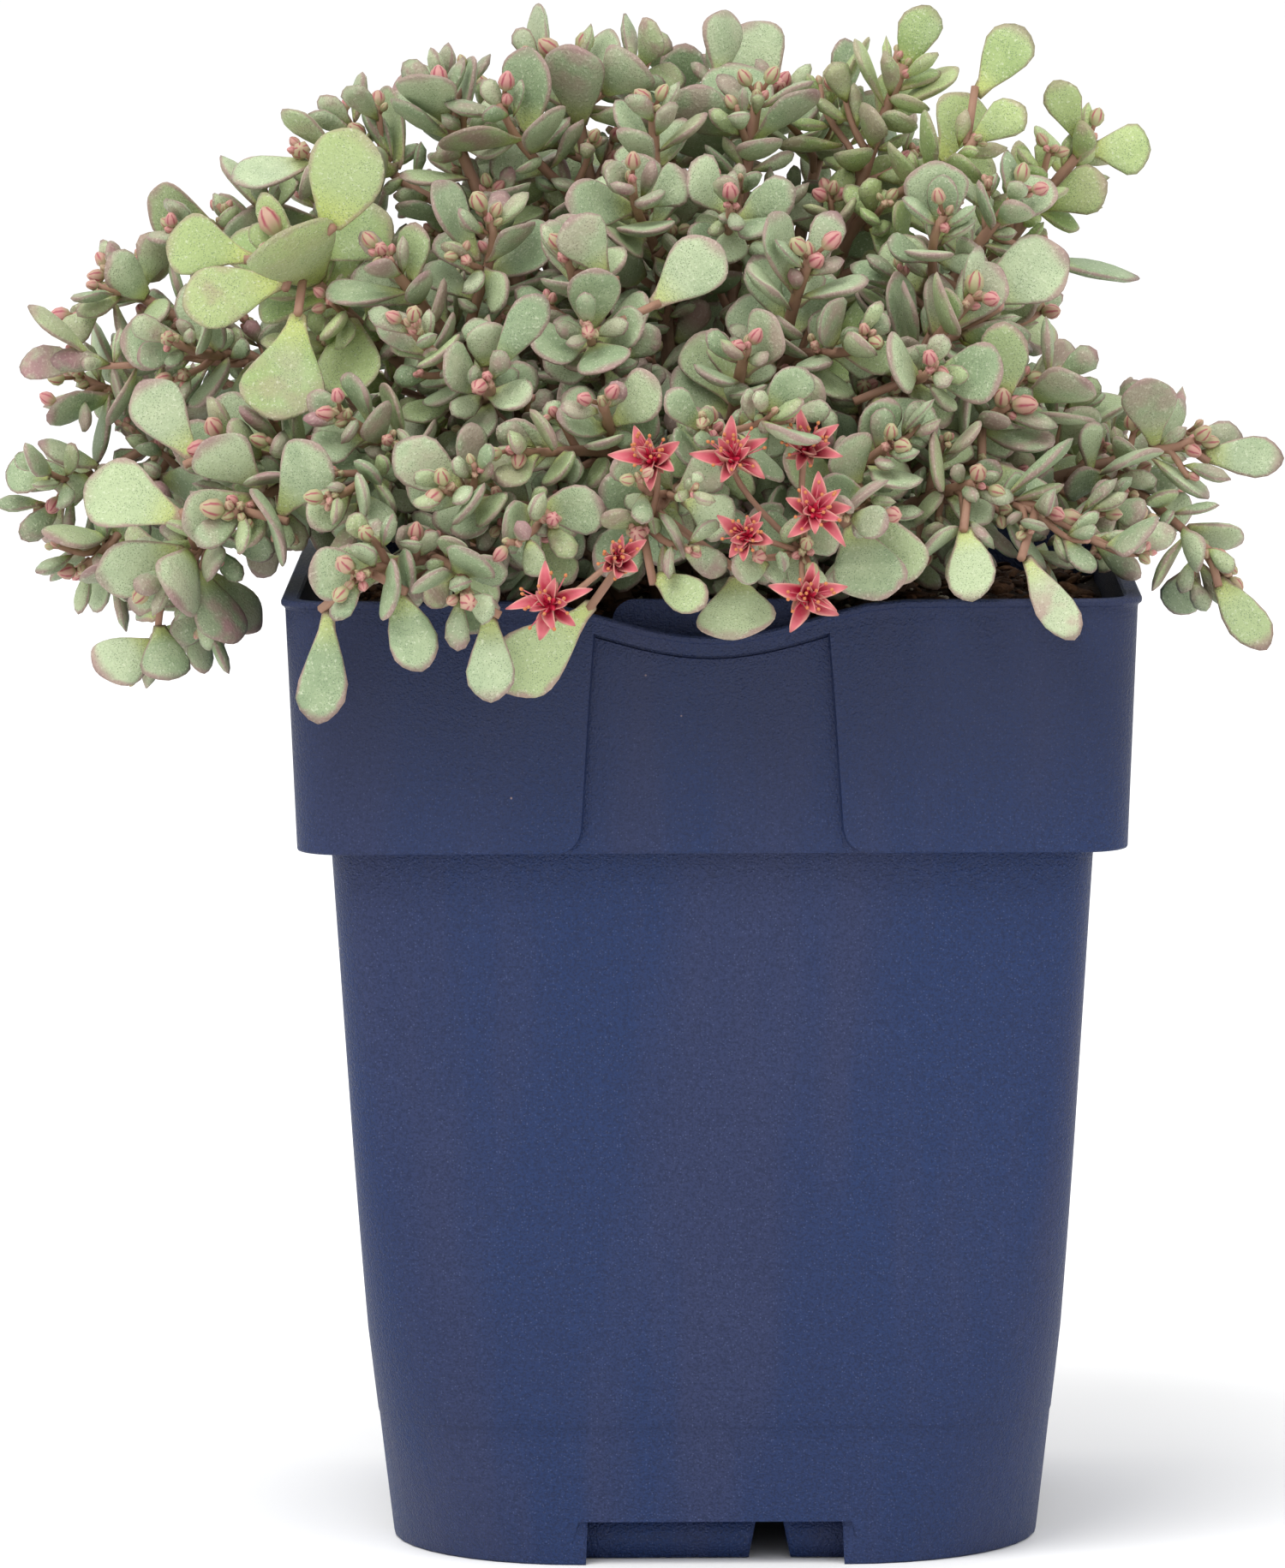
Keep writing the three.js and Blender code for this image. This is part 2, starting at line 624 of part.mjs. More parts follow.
function bladeSolid(blade, sides) {
  const geometry = new THREE.ConeGeometry(1, 1, sides);
  const position = geometry.attributes.position;
  const besideFoot = Math.PI * (1 - 2 / sides);
  for (let index = 0; index < position.count; index += 1) {
    const below = position.getY(index) > 0 ? 1 : 0;
    let along = position.getZ(index);
    let across = -position.getX(index);
    if (!below && Math.hypot(along, across) < 0.5) {
      along = Math.cos(besideFoot);
      across = Math.sin(besideFoot);
    }
    const point = bladePoint(blade, along, across, below);
    position.setXYZ(index, point.x, point.y, point.z);
  }
  return solidFrom(geometry);
}

// The points that keep other growth off a blade: its middle and two rings, without
// the narrow foot, each as far round as half its thickness.
function bladeGuards(blade) {
  const wide = blade.width > wideBlade;
  const ring = wide ? 14 : 8;
  const rings = wide ? [0.5, 1] : [1];
  const guards = [[0, 0]];
  rings.forEach((size) => {
    const count = Math.round(ring * size);
    for (let step = 0; step < count; step += 1) {
      const angle = (step + 0.5) / count * 2 * Math.PI;
      const along = size * Math.cos(angle);
      if (along > -0.72) guards.push([along, size * Math.sin(angle)]);
    }
  });
  return guards.map(([along, across]) => {
    const below = 0.5 * (1 - along * along - across * across);
    const point = bladePoint(blade, along, across, below);
    return { point, radius: blade.thick / 2 };
  });
}

// A bud on its stalk: a spindle that swells towards its tip.
function budSolid(bud) {
  const geometry = new THREE.SphereGeometry(1, budSides, 2);
  const turn = new THREE.Quaternion().setFromUnitVectors(new THREE.Vector3(0, 1, 0), bud.way);
  const position = geometry.attributes.position;
  for (let index = 0; index < position.count; index += 1) {
    const height = position.getY(index);
    const share = height > 0.5 ? 1 : height < -0.5 ? 0 : budSwell;
    const local = new THREE.Vector3(position.getX(index), 0, position.getZ(index));
    local.multiplyScalar(bud.radius).setY(bud.length * share).applyQuaternion(turn);
    local.add(bud.base);
    position.setXYZ(index, local.x, local.y, local.z);
  }
  return solidFrom(geometry);
}

function budGuards(bud) {
  const point = bud.base.clone().addScaledVector(bud.way, bud.length * budSwell);
  return [{ point, radius: bud.radius }];
}

// Room for growth: each grown thing claims its guard points, and a new one is placed
// only where it keeps clear of what others have claimed, of the pot and of the soil.
const room = new Map();

function cellKey(x, y, z) {
  return `${Math.floor(x / roomCell)},${Math.floor(y / roomCell)},${Math.floor(z / roomCell)}`;
}

function claim(guards, owner) {
  guards.forEach(({ point, radius }) => {
    const key = cellKey(point.x, point.y, point.z);
    if (!room.has(key)) room.set(key, []);
    room.get(key).push({ point, radius, owner });
  });
}

function clearOfPot(point, radius) {
  const reach = radius + growGap;
  const across = Math.max(Math.abs(point.x), Math.abs(point.y));
  if (across - reach > rimHalf) return true;
  if (point.z - reach > potHeight) return true;
  return across + reach < potInnerClear && point.z - reach > soilClearZ;
}

function clearOfOthers(point, radius, own) {
  for (let x = -roomCell; x <= roomCell; x += roomCell) {
    for (let y = -roomCell; y <= roomCell; y += roomCell) {
      for (let z = -roomCell; z <= roomCell; z += roomCell) {
        const near = room.get(cellKey(point.x + x, point.y + y, point.z + z)) || [];
        const blocked = near.some((other) => !own.includes(other.owner)
          && other.point.distanceTo(point) < radius + other.radius + growGap);
        if (blocked) return false;
      }
    }
  }
  return true;
}

function hasRoom(guards, own) {
  return guards.every(({ point, radius }) => clearOfPot(point, radius)
    && clearOfOthers(point, radius, own));
}

// Courses: every stem and side branch as a run of straight steps.
function courseAlong(curve, steps, owner, radius) {
  const points = curve.getSpacedPoints(steps);
  const lengths = [0];
  for (let step = 1; step <= steps; step += 1) {
    lengths.push(lengths[step - 1] + points[step].distanceTo(points[step - 1]));
  }
  return { curve, steps, points, lengths, owner, radius, total: lengths[steps] };
}

// The place and the way of a course at a distance back from its tip.
function placeBack(course, back) {
  const target = Math.max(0, course.total - back);
  let step = 1;
  while (step < course.steps && course.lengths[step] < target) step += 1;
  const start = course.points[step - 1];
  const end = course.points[step];
  const share = (target - course.lengths[step - 1])
    / (course.lengths[step] - course.lengths[step - 1]);
  const way = end.clone().sub(start).normalize();
  return { point: start.clone().lerp(end, share), way };
}

// A direction at an angle from an axis, turned round the axis by a turn.
function leaning(axis, lean, turn) {
  const side = Math.abs(axis.z) > 0.9 ? new THREE.Vector3(1, 0, 0) : up;
  const first = side.clone().cross(axis).normalize();
  const second = axis.clone().cross(first);
  return axis.clone().multiplyScalar(Math.cos(lean))
    .addScaledVector(first, Math.sin(lean) * Math.cos(turn))
    .addScaledVector(second, Math.sin(lean) * Math.sin(turn));
}

// The head at a tip: buds on short stalks with a few bracts round them.
function growHead(course, size, counts, draw) {
  const { point: budFoot, way } = placeBack(course, budSink);
  const { point: bractFoot } = placeBack(course, bractSink);
  const phase = draw() * 2 * Math.PI;
  const solids = [];
  for (let index = 0; index < counts.buds; index += 1) {
    const turn = phase + index / counts.buds * 2 * Math.PI;
    const lean = drawn(budLean, draw);
    const length = drawn(budLength, draw) * size;
    const radius = drawn(budRadius, draw) * size;
    const bud = { base: budFoot, way: leaning(way, lean, turn), length, radius };
    const guards = budGuards(bud);
    if (hasRoom(guards, [course.owner, course.owner + headOwner])) {
      claim(guards, course.owner + headOwner);
      solids.push(budSolid(bud));
    }
  }
  for (let index = 0; index < counts.bracts; index += 1) {
    const turn = phase + (index + 0.5) / counts.bracts * 2 * Math.PI;
    const lean = drawn(bractLean, draw);
    const length = drawn(bractLength, draw) * size;
    const width = length * drawn(bractWidthShare, draw);
    const blade = bladeAt(bractFoot, leaning(way, lean, turn), way, {
      length, width, thick: bractThick,
    });
    const guards = bladeGuards(blade);
    if (hasRoom(guards, [course.owner, course.owner + headOwner])) {
      claim(guards, course.owner + headOwner);
      solids.push(bladeSolid(blade, bractSides));
    }
  }
  return solids;
}

// A pair of leaves across a stem. A leaf that finds no room tries again, turned and
// a little shorter, and is left out after the last try.
function growPair(course, size, back, turn, lean, draw) {
  const { point, way } = placeBack(course, back);
  const solids = [];
  for (let half = 0; half < 2; half += 1) {
    for (let attempt = 0; attempt < leafTries; attempt += 1) {
      const swing = (draw() - 0.5) * (leafSwing + attempt * retrySwing);
      const tilt = lean + (draw() - 0.5) * (leafTilt + attempt * retryTilt);
      const twist = (draw() - 0.5) * leafTwist;
      const shorter = 1 - attempt * retryShortening;
      const length = drawn(leafLength, draw) * size * shorter;
      const width = length * drawn(leafWidthShare, draw);
      const ahead = leaning(way, tilt, turn + half * Math.PI + swing);
      const face = way.clone().applyAxisAngle(ahead, twist);
      const blade = bladeAt(point, ahead, face, {
        length, width, thick: leafThick,
      });
      const guards = bladeGuards(blade);
      if (hasRoom(guards, [course.owner])) {
        claim(guards, leafOwner);
        solids.push(bladeSolid(blade, leafSides));
        break;
      }
    }
  }
  return solids;
}

// The place on a plant's courses that is nearest to a point.
function nearestPlace(plant, target) {
  let best = null;
  plant.courses.forEach((course) => {
    for (let back = bractSink; back < course.total; back += 1) {
      const place = placeBack(course, back);
      const distance = place.point.distanceTo(target);
      if (!best || distance < best.distance) best = { course, distance, ...place };
    }
  });
  return best;
}

// One of the largest leaves. Where its foot stands off the stem, a short stalk joins it.
function growBigLeaf(leaf) {
  const plant = plants[leaf.stem - 1];
  const foot = vectorOf(leaf.foot);
  const tip = vectorOf(leaf.tip);
  const nearest = nearestPlace(plant, foot);
  let base = nearest.point;
  if (nearest.distance > stalkFrom) {
    const stalk = new THREE.LineCurve3(nearest.point, foot);
    plant.solids.push(tubeSolid(stalk, stalkRadius, 1, stalkSides));
    base = stalk.getPoint(1 - stalkOverlap / nearest.distance);
    stalk.getPoints(4).forEach((point) => {
      claim([{ point, radius: stalkRadius }], nearest.course.owner);
    });
  }
  const way = tip.clone().sub(base);
  const blade = bladeAt(base, way, vectorOf(leaf.face || bigLeafFace), {
    length: way.length(), width: leaf.width, thick: leafThick,
  });
  const guards = bladeGuards(blade);
  if (hasRoom(guards, [nearest.course.owner])) {
    claim(guards, leafOwner);
    plant.solids.push(bladeSolid(blade, leafSides));
  }
}

// An open bloom: five petals and a green heart, on a pedicel of its stem that ends
// just short of it.
function growBloom(bloom, plant) {
  const heart = vectorOf(bloom.at);
  const facing = vectorOf(bloom.facing).normalize();
  const foot = heart.clone().addScaledVector(facing, -heartBack);
  const core = {
    base: foot, way: facing, length: heartBack + heartFront, radius: heartRadius,
  };
  const solids = [budSolid(core)];
  claim([{ point: heart, radius: heartRadius }], bloomOwner);
  for (let petal = 0; petal < petals; petal += 1) {
    const turn = petal / petals * 2 * Math.PI + bloom.at[0];
    const blade = bladeAt(heart, leaning(facing, petalLean, turn), facing, {
      length: bloomReach, width: petalWidth, thick: petalThick,
    });
    claim(bladeGuards(blade), bloomOwner);
    solids.push(bladeSolid(blade, bractSides));
  }
  const seat = foot.clone().addScaledVector(facing, -clearance);
  const { point: start, distance, course } = nearestPlace(plant, seat);
  const behind = seat.clone().addScaledVector(facing, -distance * 0.5);
  const pedicel = new THREE.QuadraticBezierCurve3(start, behind, seat);
  plant.solids.push(tubeSolid(pedicel, pedicelRadius, branchSteps, stemSides));
  pedicel.getPoints(6).forEach((point) => {
    claim([{ point, radius: pedicelRadius }], course.owner);
  });
  return joined(solids);
}

// The courses of every stem: the main one first, then the side branches.
const roots = rootPlaces();
let owners = 0;
const plants = stems.map((stem, index) => {
  const tip = vectorOf(stem.tips[0]);
  const main = courseOf(roots[index], up, tip, tipFacing(tip));
  const courses = [courseAlong(main, stemSteps, owners, stemRadius)];
  owners += 1;
  stem.tips.slice(1).forEach((end) => {
    const sideTip = vectorOf(end);
    const fork = placeBack(courses[0], courses[0].total * forkBack);
    const side = courseOf(fork.point, fork.way, sideTip, tipFacing(sideTip));
    courses.push(courseAlong(side, branchSteps, owners, branchRadius));
    owners += 1;
  });
  return { stem, index, courses, draw: drawsFrom(1000 + index * 77), solids: [] };
});

plants.forEach(({ courses, solids }) => {
  courses.forEach((course) => {
    solids.push(tubeSolid(course.curve, course.radius, course.steps, stemSides));
    for (let back = 0; back < course.total; back += guardStep) {
      const { point } = placeBack(course, back);
      claim([{ point, radius: course.radius }], course.owner);
    }
  });
});

bigLeaves.forEach(growBigLeaf);
const bloomSolids = blooms.map((bloom) => growBloom(bloom, plants[bloom.stem - 1]));
plants.forEach(({ stem, courses, draw, solids }) => {
  courses.forEach((course, order) => {
    const size = stem.tips[order][3];
    const counts = order === 0 ? mainHead : sideHead;
    solids.push(...growHead(course, size, counts, draw));
  });
});
plants.forEach(({ stem, index, courses, draw, solids }) => {
  courses.forEach((course, order) => {
    const size = stem.tips[order][3];
    const carried = bigLeaves.filter((leaf) => leaf.stem === index + 1).length;
    const crowded = carried >= wellLeavedFrom || stem.tips[0][2] > crowdedAboveZ;
    const backs = order === 0 && !crowded ? mainBacks : sideBacks;
    const phase = draw() * Math.PI;
    backs.forEach((back, step) => {
      const lean = leafLean + step * leafLeanStep;
      solids.push(...growPair(course, size, back, phase + step * Math.PI / 2, lean, draw));
    });
  });
});

const group = new THREE.Group();

function addNode(name, solid, finish) {
  const material = new THREE.MeshStandardMaterial(finishes[finish]);
  const mesh = new THREE.Mesh(geometryFrom(solid), material);
  mesh.name = name;
  group.add(mesh);
}

// The soil has a plain hole round the buried part of every stem.
function stemHoles() {
  return plants.map(({ courses }) => {
    const { v0, v1, v2, v3 } = courses[0].curve;
    const below = v0.clone().addScaledVector(up, -holeSlack);
    const course = new THREE.CubicBezierCurve3(below, v1, v2, v3);
    return tubeSolid(course, stemRadius + holeSlack, stemSteps, stemSides);
  });
}

addNode('pot', potSolid(), 'pot');
addNode('soil', stemHoles().reduce((soil, hole) => soil.subtract(hole), soilSolid()), 'soil');
bloomSolids.forEach((solid, index) => addNode(`bloom_${index + 1}`, solid, 'bloom'));
plants.forEach(({ stem, index, solids }) => {
  const name = `stem_${String(index + 1).padStart(2, '0')}`;
  addNode(name, withoutScraps(joined(solids)), stem.tone);
});

export default group;
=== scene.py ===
# %% [markdown]
# A stonecrop in its nursery pot
#
# The object is a square plastic pot filled with potting soil, and a stonecrop whose
# stems rise from the soil, lean out over the rim and end in heads of small buds. The
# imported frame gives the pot, the soil, the stems and the blooms as plain solids at
# their real size. This lesson dresses each of them with a finer surface in the same
# place, worked out with numpy, and gives each a procedural finish.

import bpy
import numpy as np
from mathutils import Matrix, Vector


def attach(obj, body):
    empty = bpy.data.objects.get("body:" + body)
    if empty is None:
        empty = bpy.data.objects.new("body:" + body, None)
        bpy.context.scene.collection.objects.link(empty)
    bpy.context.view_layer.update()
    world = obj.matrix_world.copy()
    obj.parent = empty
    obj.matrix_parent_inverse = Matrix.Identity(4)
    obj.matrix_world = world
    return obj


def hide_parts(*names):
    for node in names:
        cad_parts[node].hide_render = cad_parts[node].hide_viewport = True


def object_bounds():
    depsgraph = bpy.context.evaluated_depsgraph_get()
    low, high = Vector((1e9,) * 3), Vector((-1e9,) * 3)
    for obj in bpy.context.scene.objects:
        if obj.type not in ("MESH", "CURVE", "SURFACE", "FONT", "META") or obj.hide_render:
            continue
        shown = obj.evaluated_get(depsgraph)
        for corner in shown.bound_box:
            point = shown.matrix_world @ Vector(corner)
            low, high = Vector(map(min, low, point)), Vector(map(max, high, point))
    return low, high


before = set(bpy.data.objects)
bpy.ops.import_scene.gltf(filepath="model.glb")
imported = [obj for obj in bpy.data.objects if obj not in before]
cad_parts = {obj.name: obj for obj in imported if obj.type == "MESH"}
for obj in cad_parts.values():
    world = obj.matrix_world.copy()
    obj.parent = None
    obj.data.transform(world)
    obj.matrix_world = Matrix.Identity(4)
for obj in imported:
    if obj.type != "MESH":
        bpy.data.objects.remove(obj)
cad_box = [[float(value) for value in corner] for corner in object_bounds()]
MM = 0.001
print("CAD box", cad_box)

# %% [markdown]
# Camera
#
# The photograph was taken from the front, a little above the rim, with a long lens from
# about a metre and a half. The camera's height, pitch and focal length come from the
# pot's own edges: the rim, the collar and the foot are squares of known size. The
# photograph was trimmed, so its middle lies a little left of the lens axis, and a small
# shift gives the same framing without turning the camera.

# %% Camera
PHOTO_WIDTH = 1500
PHOTO_HEIGHT = 1831
FOCAL_PIXELS = 12170.4
AXIS_PIXEL_X = 831.4
CAMERA_AT = (0.0, -1.5, 0.27673)
PITCH = 0.1133
ROLL = 0.0038
SENSOR = 36.0


def unit(vector):
    return vector / np.sqrt(vector @ vector)


def add_object(name, data, ways=None, at=None):
    """An object in the scene, from its ways to the right, up and back and its place."""
    made = bpy.data.objects.new(name, data)
    if ways is not None:
        matrix = np.eye(4)
        matrix[:3] = np.column_stack([*ways, at])
        made.matrix_world = Matrix(matrix.tolist())
    bpy.context.scene.collection.objects.link(made)
    return made


camera_data = bpy.data.cameras.new("camera")
camera_data.sensor_width = SENSOR
camera_data.lens = FOCAL_PIXELS * SENSOR / PHOTO_HEIGHT
camera_data.clip_end = 80
camera_data.shift_x = (PHOTO_WIDTH / 2 - AXIS_PIXEL_X) / PHOTO_HEIGHT
level_back = np.array([0, -np.cos(PITCH), np.sin(PITCH)])
level_up = np.array([0, np.sin(PITCH), np.cos(PITCH)])
level_right = np.array([1.0, 0, 0])
rolled_right = np.cos(ROLL) * level_right - np.sin(ROLL) * level_up
rolled_up = np.cos(ROLL) * level_up + np.sin(ROLL) * level_right
bpy.context.scene.camera = add_object(
    "camera", camera_data, (rolled_right, rolled_up, level_back), CAMERA_AT)
print("lens in mm", round(camera_data.lens, 1), "shift", round(camera_data.shift_x, 4))

# %% [markdown]
# Finishes
#
# A finish is a small net of shader nodes. The helpers below join nodes in plain steps:
# a noise or a stored value is spread between two limits, and colours are mixed by it.
# Patterns read Object coordinates, so their scale is in real metres, or the colours
# stored on the surface, which say how near a point is to a leaf's edge or tip.

# %% Node helpers
def linear(red, green, blue):
    """A screen colour from 0 to 255 as the linear light that a shader wants."""
    shares = np.array([red, green, blue]) / 255
    low = shares / 12.92
    high = ((shares + 0.055) / 1.055) ** 2.4
    return tuple(float(v) for v in np.where(shares <= 0.04045, low, high)) + (1.0,)


class Finish:
    """One material and the steps that wire its nodes."""

    def __init__(self, name, roughness, specular):
        self.material = bpy.data.materials.new(name)
        self.material.use_nodes = True
        self.tree = self.material.node_tree
        self.tree.nodes.clear()
        output = self.node("ShaderNodeOutputMaterial")
        self.shader = self.node("ShaderNodeBsdfPrincipled", {
            "Roughness": roughness, "Specular IOR Level": specular})
        self.feed(output.inputs[0], self.shader.outputs[0])
        self.place = self.node("ShaderNodeTexCoord").outputs["Object"]
        self.stored = None

    def feed(self, socket, value):
        if isinstance(value, bpy.types.NodeSocket):
            self.tree.links.new(value, socket)
        else:
            socket.default_value = value

    def node(self, kind, inputs=(), **settings):
        """A new node with its settings, and values or links for some of its inputs."""
        made = self.tree.nodes.new(kind)
        for key, value in settings.items():
            setattr(made, key, value)
        for key, value in dict(inputs).items():
            self.feed(made.inputs[key], value)
        return made

    def split(self, colour):
        """The red, green and blue of a colour as three values."""
        return self.node("ShaderNodeSeparateColor", {0: colour}).outputs

    def shade(self, channel):
        """One of the four values stored on the surface."""
        if self.stored is None:
            attribute = self.node("ShaderNodeAttribute", attribute_name="shade")
            split = self.split(attribute.outputs["Color"])
            self.stored = list(split) + [attribute.outputs["Alpha"]]
        return self.stored[channel]

    def noise(self, scale, detail=3.0, stretch=None):
        """Cloudy values round 0.5; stretch gives the scale along x, y and z."""
        place = self.place
        if stretch is not None:
            mapping = self.node("ShaderNodeMapping", {"Vector": place, "Scale": stretch})
            place = mapping.outputs[0]
        inputs = {"Vector": place, "Scale": scale, "Detail": detail}
        return self.node("ShaderNodeTexNoise", inputs).outputs["Fac"]

    def cells(self, scale):
        """The distance to the nearest of many scattered points, in cell widths, and a
        colour by chance for each of them."""
        cells = self.node("ShaderNodeTexVoronoi", {"Vector": self.place, "Scale": scale})
        return cells.outputs["Distance"], cells.outputs["Color"]

    def spread(self, value, low, high, to_low=0.0, to_high=1.0):
        """The value carried smoothly from one range to another, held at the ends."""
        inputs = enumerate((value, low, high, to_low, to_high))
        kind = "ShaderNodeMapRange"
        return self.node(kind, inputs, interpolation_type="SMOOTHSTEP").outputs[0]

    def combine(self, operation, first, second):
        """Two values put together by one of the shader's sums."""
        inputs = {0: first, 1: second}
        return self.node("ShaderNodeMath", inputs, operation=operation).outputs[0]

    def times(self, first, second):
        return self.combine("MULTIPLY", first, second)

    def plus(self, first, second):
        return self.combine("ADD", first, second)

    def mix(self, share, first, second):
        """A colour between two colours, each from a step before or a screen colour."""
        first, second = (
            linear(*colour) if isinstance(colour, tuple) else colour
            for colour in (first, second))
        inputs = {"Factor": share, 6: first, 7: second}
        return self.node("ShaderNodeMix", inputs, data_type="RGBA").outputs[2]

    def steps(self):
        """The steps that every finish uses, to call them by their short names."""
        return self.mix, self.spread, self.noise, self.times, self.plus

    def colour(self, colour):
        self.feed(self.shader.inputs["Base Color"], colour)

    def roughen(self, value):
        self.feed(self.shader.inputs["Roughness"], value)

    def bump(self, height, distance, strength=1.0):
        """Small relief: the height's span stands for a distance in metres."""
        bump = self.node("ShaderNodeBump", {
            "Height": height, "Distance": distance, "Strength": strength})
        self.feed(self.shader.inputs["Normal"], bump.outputs[0])


# %% [markdown]
# Floor and light
#
# The object stands on a plain pale floor in the soft light of a white room. One wide
# lamp above and a little to the left of the front gives the leaves their bright upper
# faces and the pot its gentle fall of shade, with a faint one at the right; the white
# surroundings fill the rest.

# %% Floor and light
FLOOR_REACH = 30.0
LAMP_TARGET = (0, 0, 0.12)
ROOM_LIGHT = 1.06

floor_mesh = bpy.data.meshes.new("floor")
floor_corners = [(-1, -1, 0), (1, -1, 0), (1, 1, 0), (-1, 1, 0)]
floor_mesh.from_pydata(np.array(floor_corners) * FLOOR_REACH, [], [(0, 1, 2, 3)])
floor = add_object("floor", floor_mesh)
pale = Finish("pale floor", roughness=0.9, specular=0.1)
pale.colour(pale.mix(pale.noise(3.0), (250, 250, 250), (253, 253, 253)))
floor_mesh.materials.append(pale.material)

world = bpy.data.worlds.new("white room")
world.use_nodes = True
world.node_tree.nodes["Background"].inputs[0].default_value = (1, 1, 1, 1)
world.node_tree.nodes["Background"].inputs[1].default_value = ROOM_LIGHT
bpy.context.scene.world = world
bpy.context.scene.view_settings.view_transform = "Standard"


def soft_lamp(name, at, size, watts):
    """A square lamp at a place, turned to shine at the middle of the plant."""
    data = bpy.data.lights.new(name, "AREA")
    data.shape = "SQUARE"
    data.size = size
    data.energy = watts
    back = unit(np.subtract(at, LAMP_TARGET))
    side = unit(np.cross([0, 0, 1.0], back))
    add_object(name, data, (side, np.cross(back, side), back), at)


soft_lamp("upper_lamp", at=(-0.6, -1.0, 2.1), size=1.3, watts=30)
soft_lamp("side_lamp", at=(1.6, -1.2, 0.9), size=1.2, watts=3)
print("floor and lamps are set")

# %% [markdown]
# Meshes from arrays
#
# Every piece is a grid of points computed as one numpy array. The columns of a grid
# wrap round, and its ends are either joined to each other or closed with a fan of
# triangles to one point. Many copies of one small grid, such as all the leaves of a
# stem, are computed together and share the same pattern of faces.

# %% Mesh helpers
def round_angles(count):
    """Angles of equal steps once round, from 0."""
    return np.linspace(0, 2 * np.pi, count, endpoint=False)


def turned(first, second, angle):
    """Two coordinates turned by an angle round the axis square to both."""
    cos, sin = np.cos(angle), np.sin(angle)
    return first * cos - second * sin, first * sin + second * cos


def ring_faces(rows, columns, wrap=False):
    """Quads between neighbouring rings of a grid that wraps round its columns."""
    bands = np.arange(rows if wrap else rows - 1)[:, None]
    low, high = bands * columns, (bands + 1) % rows * columns
    column = np.arange(columns)[None, :]
    after = (column + 1) % columns
    corners = [low + column, low + after, high + after, high + column]
    return np.stack(corners, -1).reshape(-1, 4)


def fan_faces(centre, start, columns, upward):
    """Triangles from one point to a ring, turned up (outward at the end) or down."""
    ring = start + np.arange(columns)
    after = start + (np.arange(columns) + 1) % columns
    middle = np.full(columns, centre)
    return np.stack([middle, ring, after] if upward else [middle, after, ring], -1)


def end_fans(size, columns, flipped=False):
    """The fans that close both ends of a grid of so many points: the first ring to the
    point that follows the grid, and the last ring to the one after that."""
    first = fan_faces(size, 0, columns, flipped)
    last = fan_faces(size + 1, size - columns, columns, not flipped)
    return np.concatenate([first, last])


def capped(surface):
    """One grid of rows closed at both ends by a fan round the end row's middle."""
    rows, columns = surface.shape[:2]
    ends = np.stack([surface[0].mean(0), surface[-1].mean(0)])
    points = np.concatenate([surface.reshape(-1, 3), ends])
    return points, ring_faces(rows, columns), end_fans(rows * columns, columns)


def stored(points, *channels):
    """Up to four values to store with each point, in one array."""
    shades = np.zeros(points.shape[:2] + (4,))
    for channel, value in enumerate(channels):
        shades[..., channel] = value
    return shades


def mesh_piece(name, points, quads, triangles, shades=None, crisp=None):
    """An object from points in millimetres, quads, triangles and stored shades. Faces
    are shaded smoothly, apart from edges sharper than the crisp angle in degrees."""
    mesh = bpy.data.meshes.new(name)
    corners = np.concatenate([np.ravel(quads), np.ravel(triangles)]).astype(np.int32)
    sizes = np.concatenate([np.full(len(quads), 4), np.full(len(triangles), 3)])
    starts = np.concatenate([[0], np.cumsum(sizes)[:-1]]).astype(np.int32)
    mesh.vertices.add(len(points))
    mesh.vertices.foreach_set("co", np.ravel(points * MM).astype(np.float32))
    mesh.loops.add(len(corners))
    mesh.loops.foreach_set("vertex_index", corners)
    mesh.polygons.add(len(sizes))
    mesh.polygons.foreach_set("loop_start", starts)
    mesh.polygons.foreach_set("use_smooth", np.full(len(sizes), True))
    if shades is not None:
        layer = mesh.attributes.new("shade", "FLOAT_COLOR", "POINT")
        layer.data.foreach_set("color", np.ravel(shades).astype(np.float32))
    mesh.update(calc_edges=True)
    mesh.validate()
    if crisp is not None:
        mesh.set_sharp_from_angle(angle=np.radians(crisp))
    return add_object(name, mesh)


def place_piece(piece, nodes, finish):
    """Ride a piece on the part's root in place of the given nodes, which are hidden,
    and give it its finish.
    """
    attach(piece, "root")
    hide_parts(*nodes)
    piece.data.materials.append(finish.material)
    return piece


class Heap:
    """Many small closed grids gathered into one mesh."""

    def __init__(self):
        self.points, self.quads, self.triangles, self.shades = [], [], [], []
        self.count = 0

    def add(self, points, quads, triangles=np.zeros((0, 3), int), shades=None):
        """Copies of one grid: three places for each point of each copy, and four
        stored shades."""
        copies, size = points.shape[:2]
        shades = stored(points) if shades is None else shades
        shift = self.count + np.arange(copies)[:, None, None] * size
        self.points.append(points.reshape(-1, 3))
        self.shades.append(shades.reshape(-1, 4))
        self.quads.append((quads[None] + shift).reshape(-1, 4))
        self.triangles.append((triangles[None] + shift).reshape(-1, 3))
        self.count += copies * size

    def piece(self, name):
        parts = (self.points, self.quads, self.triangles, self.shades)
        return mesh_piece(name, *(np.concatenate(part) for part in parts))


# %% [markdown]
# Pot
#
# The real pot is one thin moulding of dark blue plastic: a tapering body that is nearly
# round at the foot and square at the top, and a taller collar that stands out from it.
# Each side of the collar has a panel set back by a millimetre, and the front one dips
# below the rim, where a label would be pushed in behind the lip. The foot has a wide
# notch in each side. It could be cut from solids, but every one of these features is
# a shift of the same wall, so the wall is one closed grid: columns run round the pot
# and rows run up the outside, over the lip and down the inside.

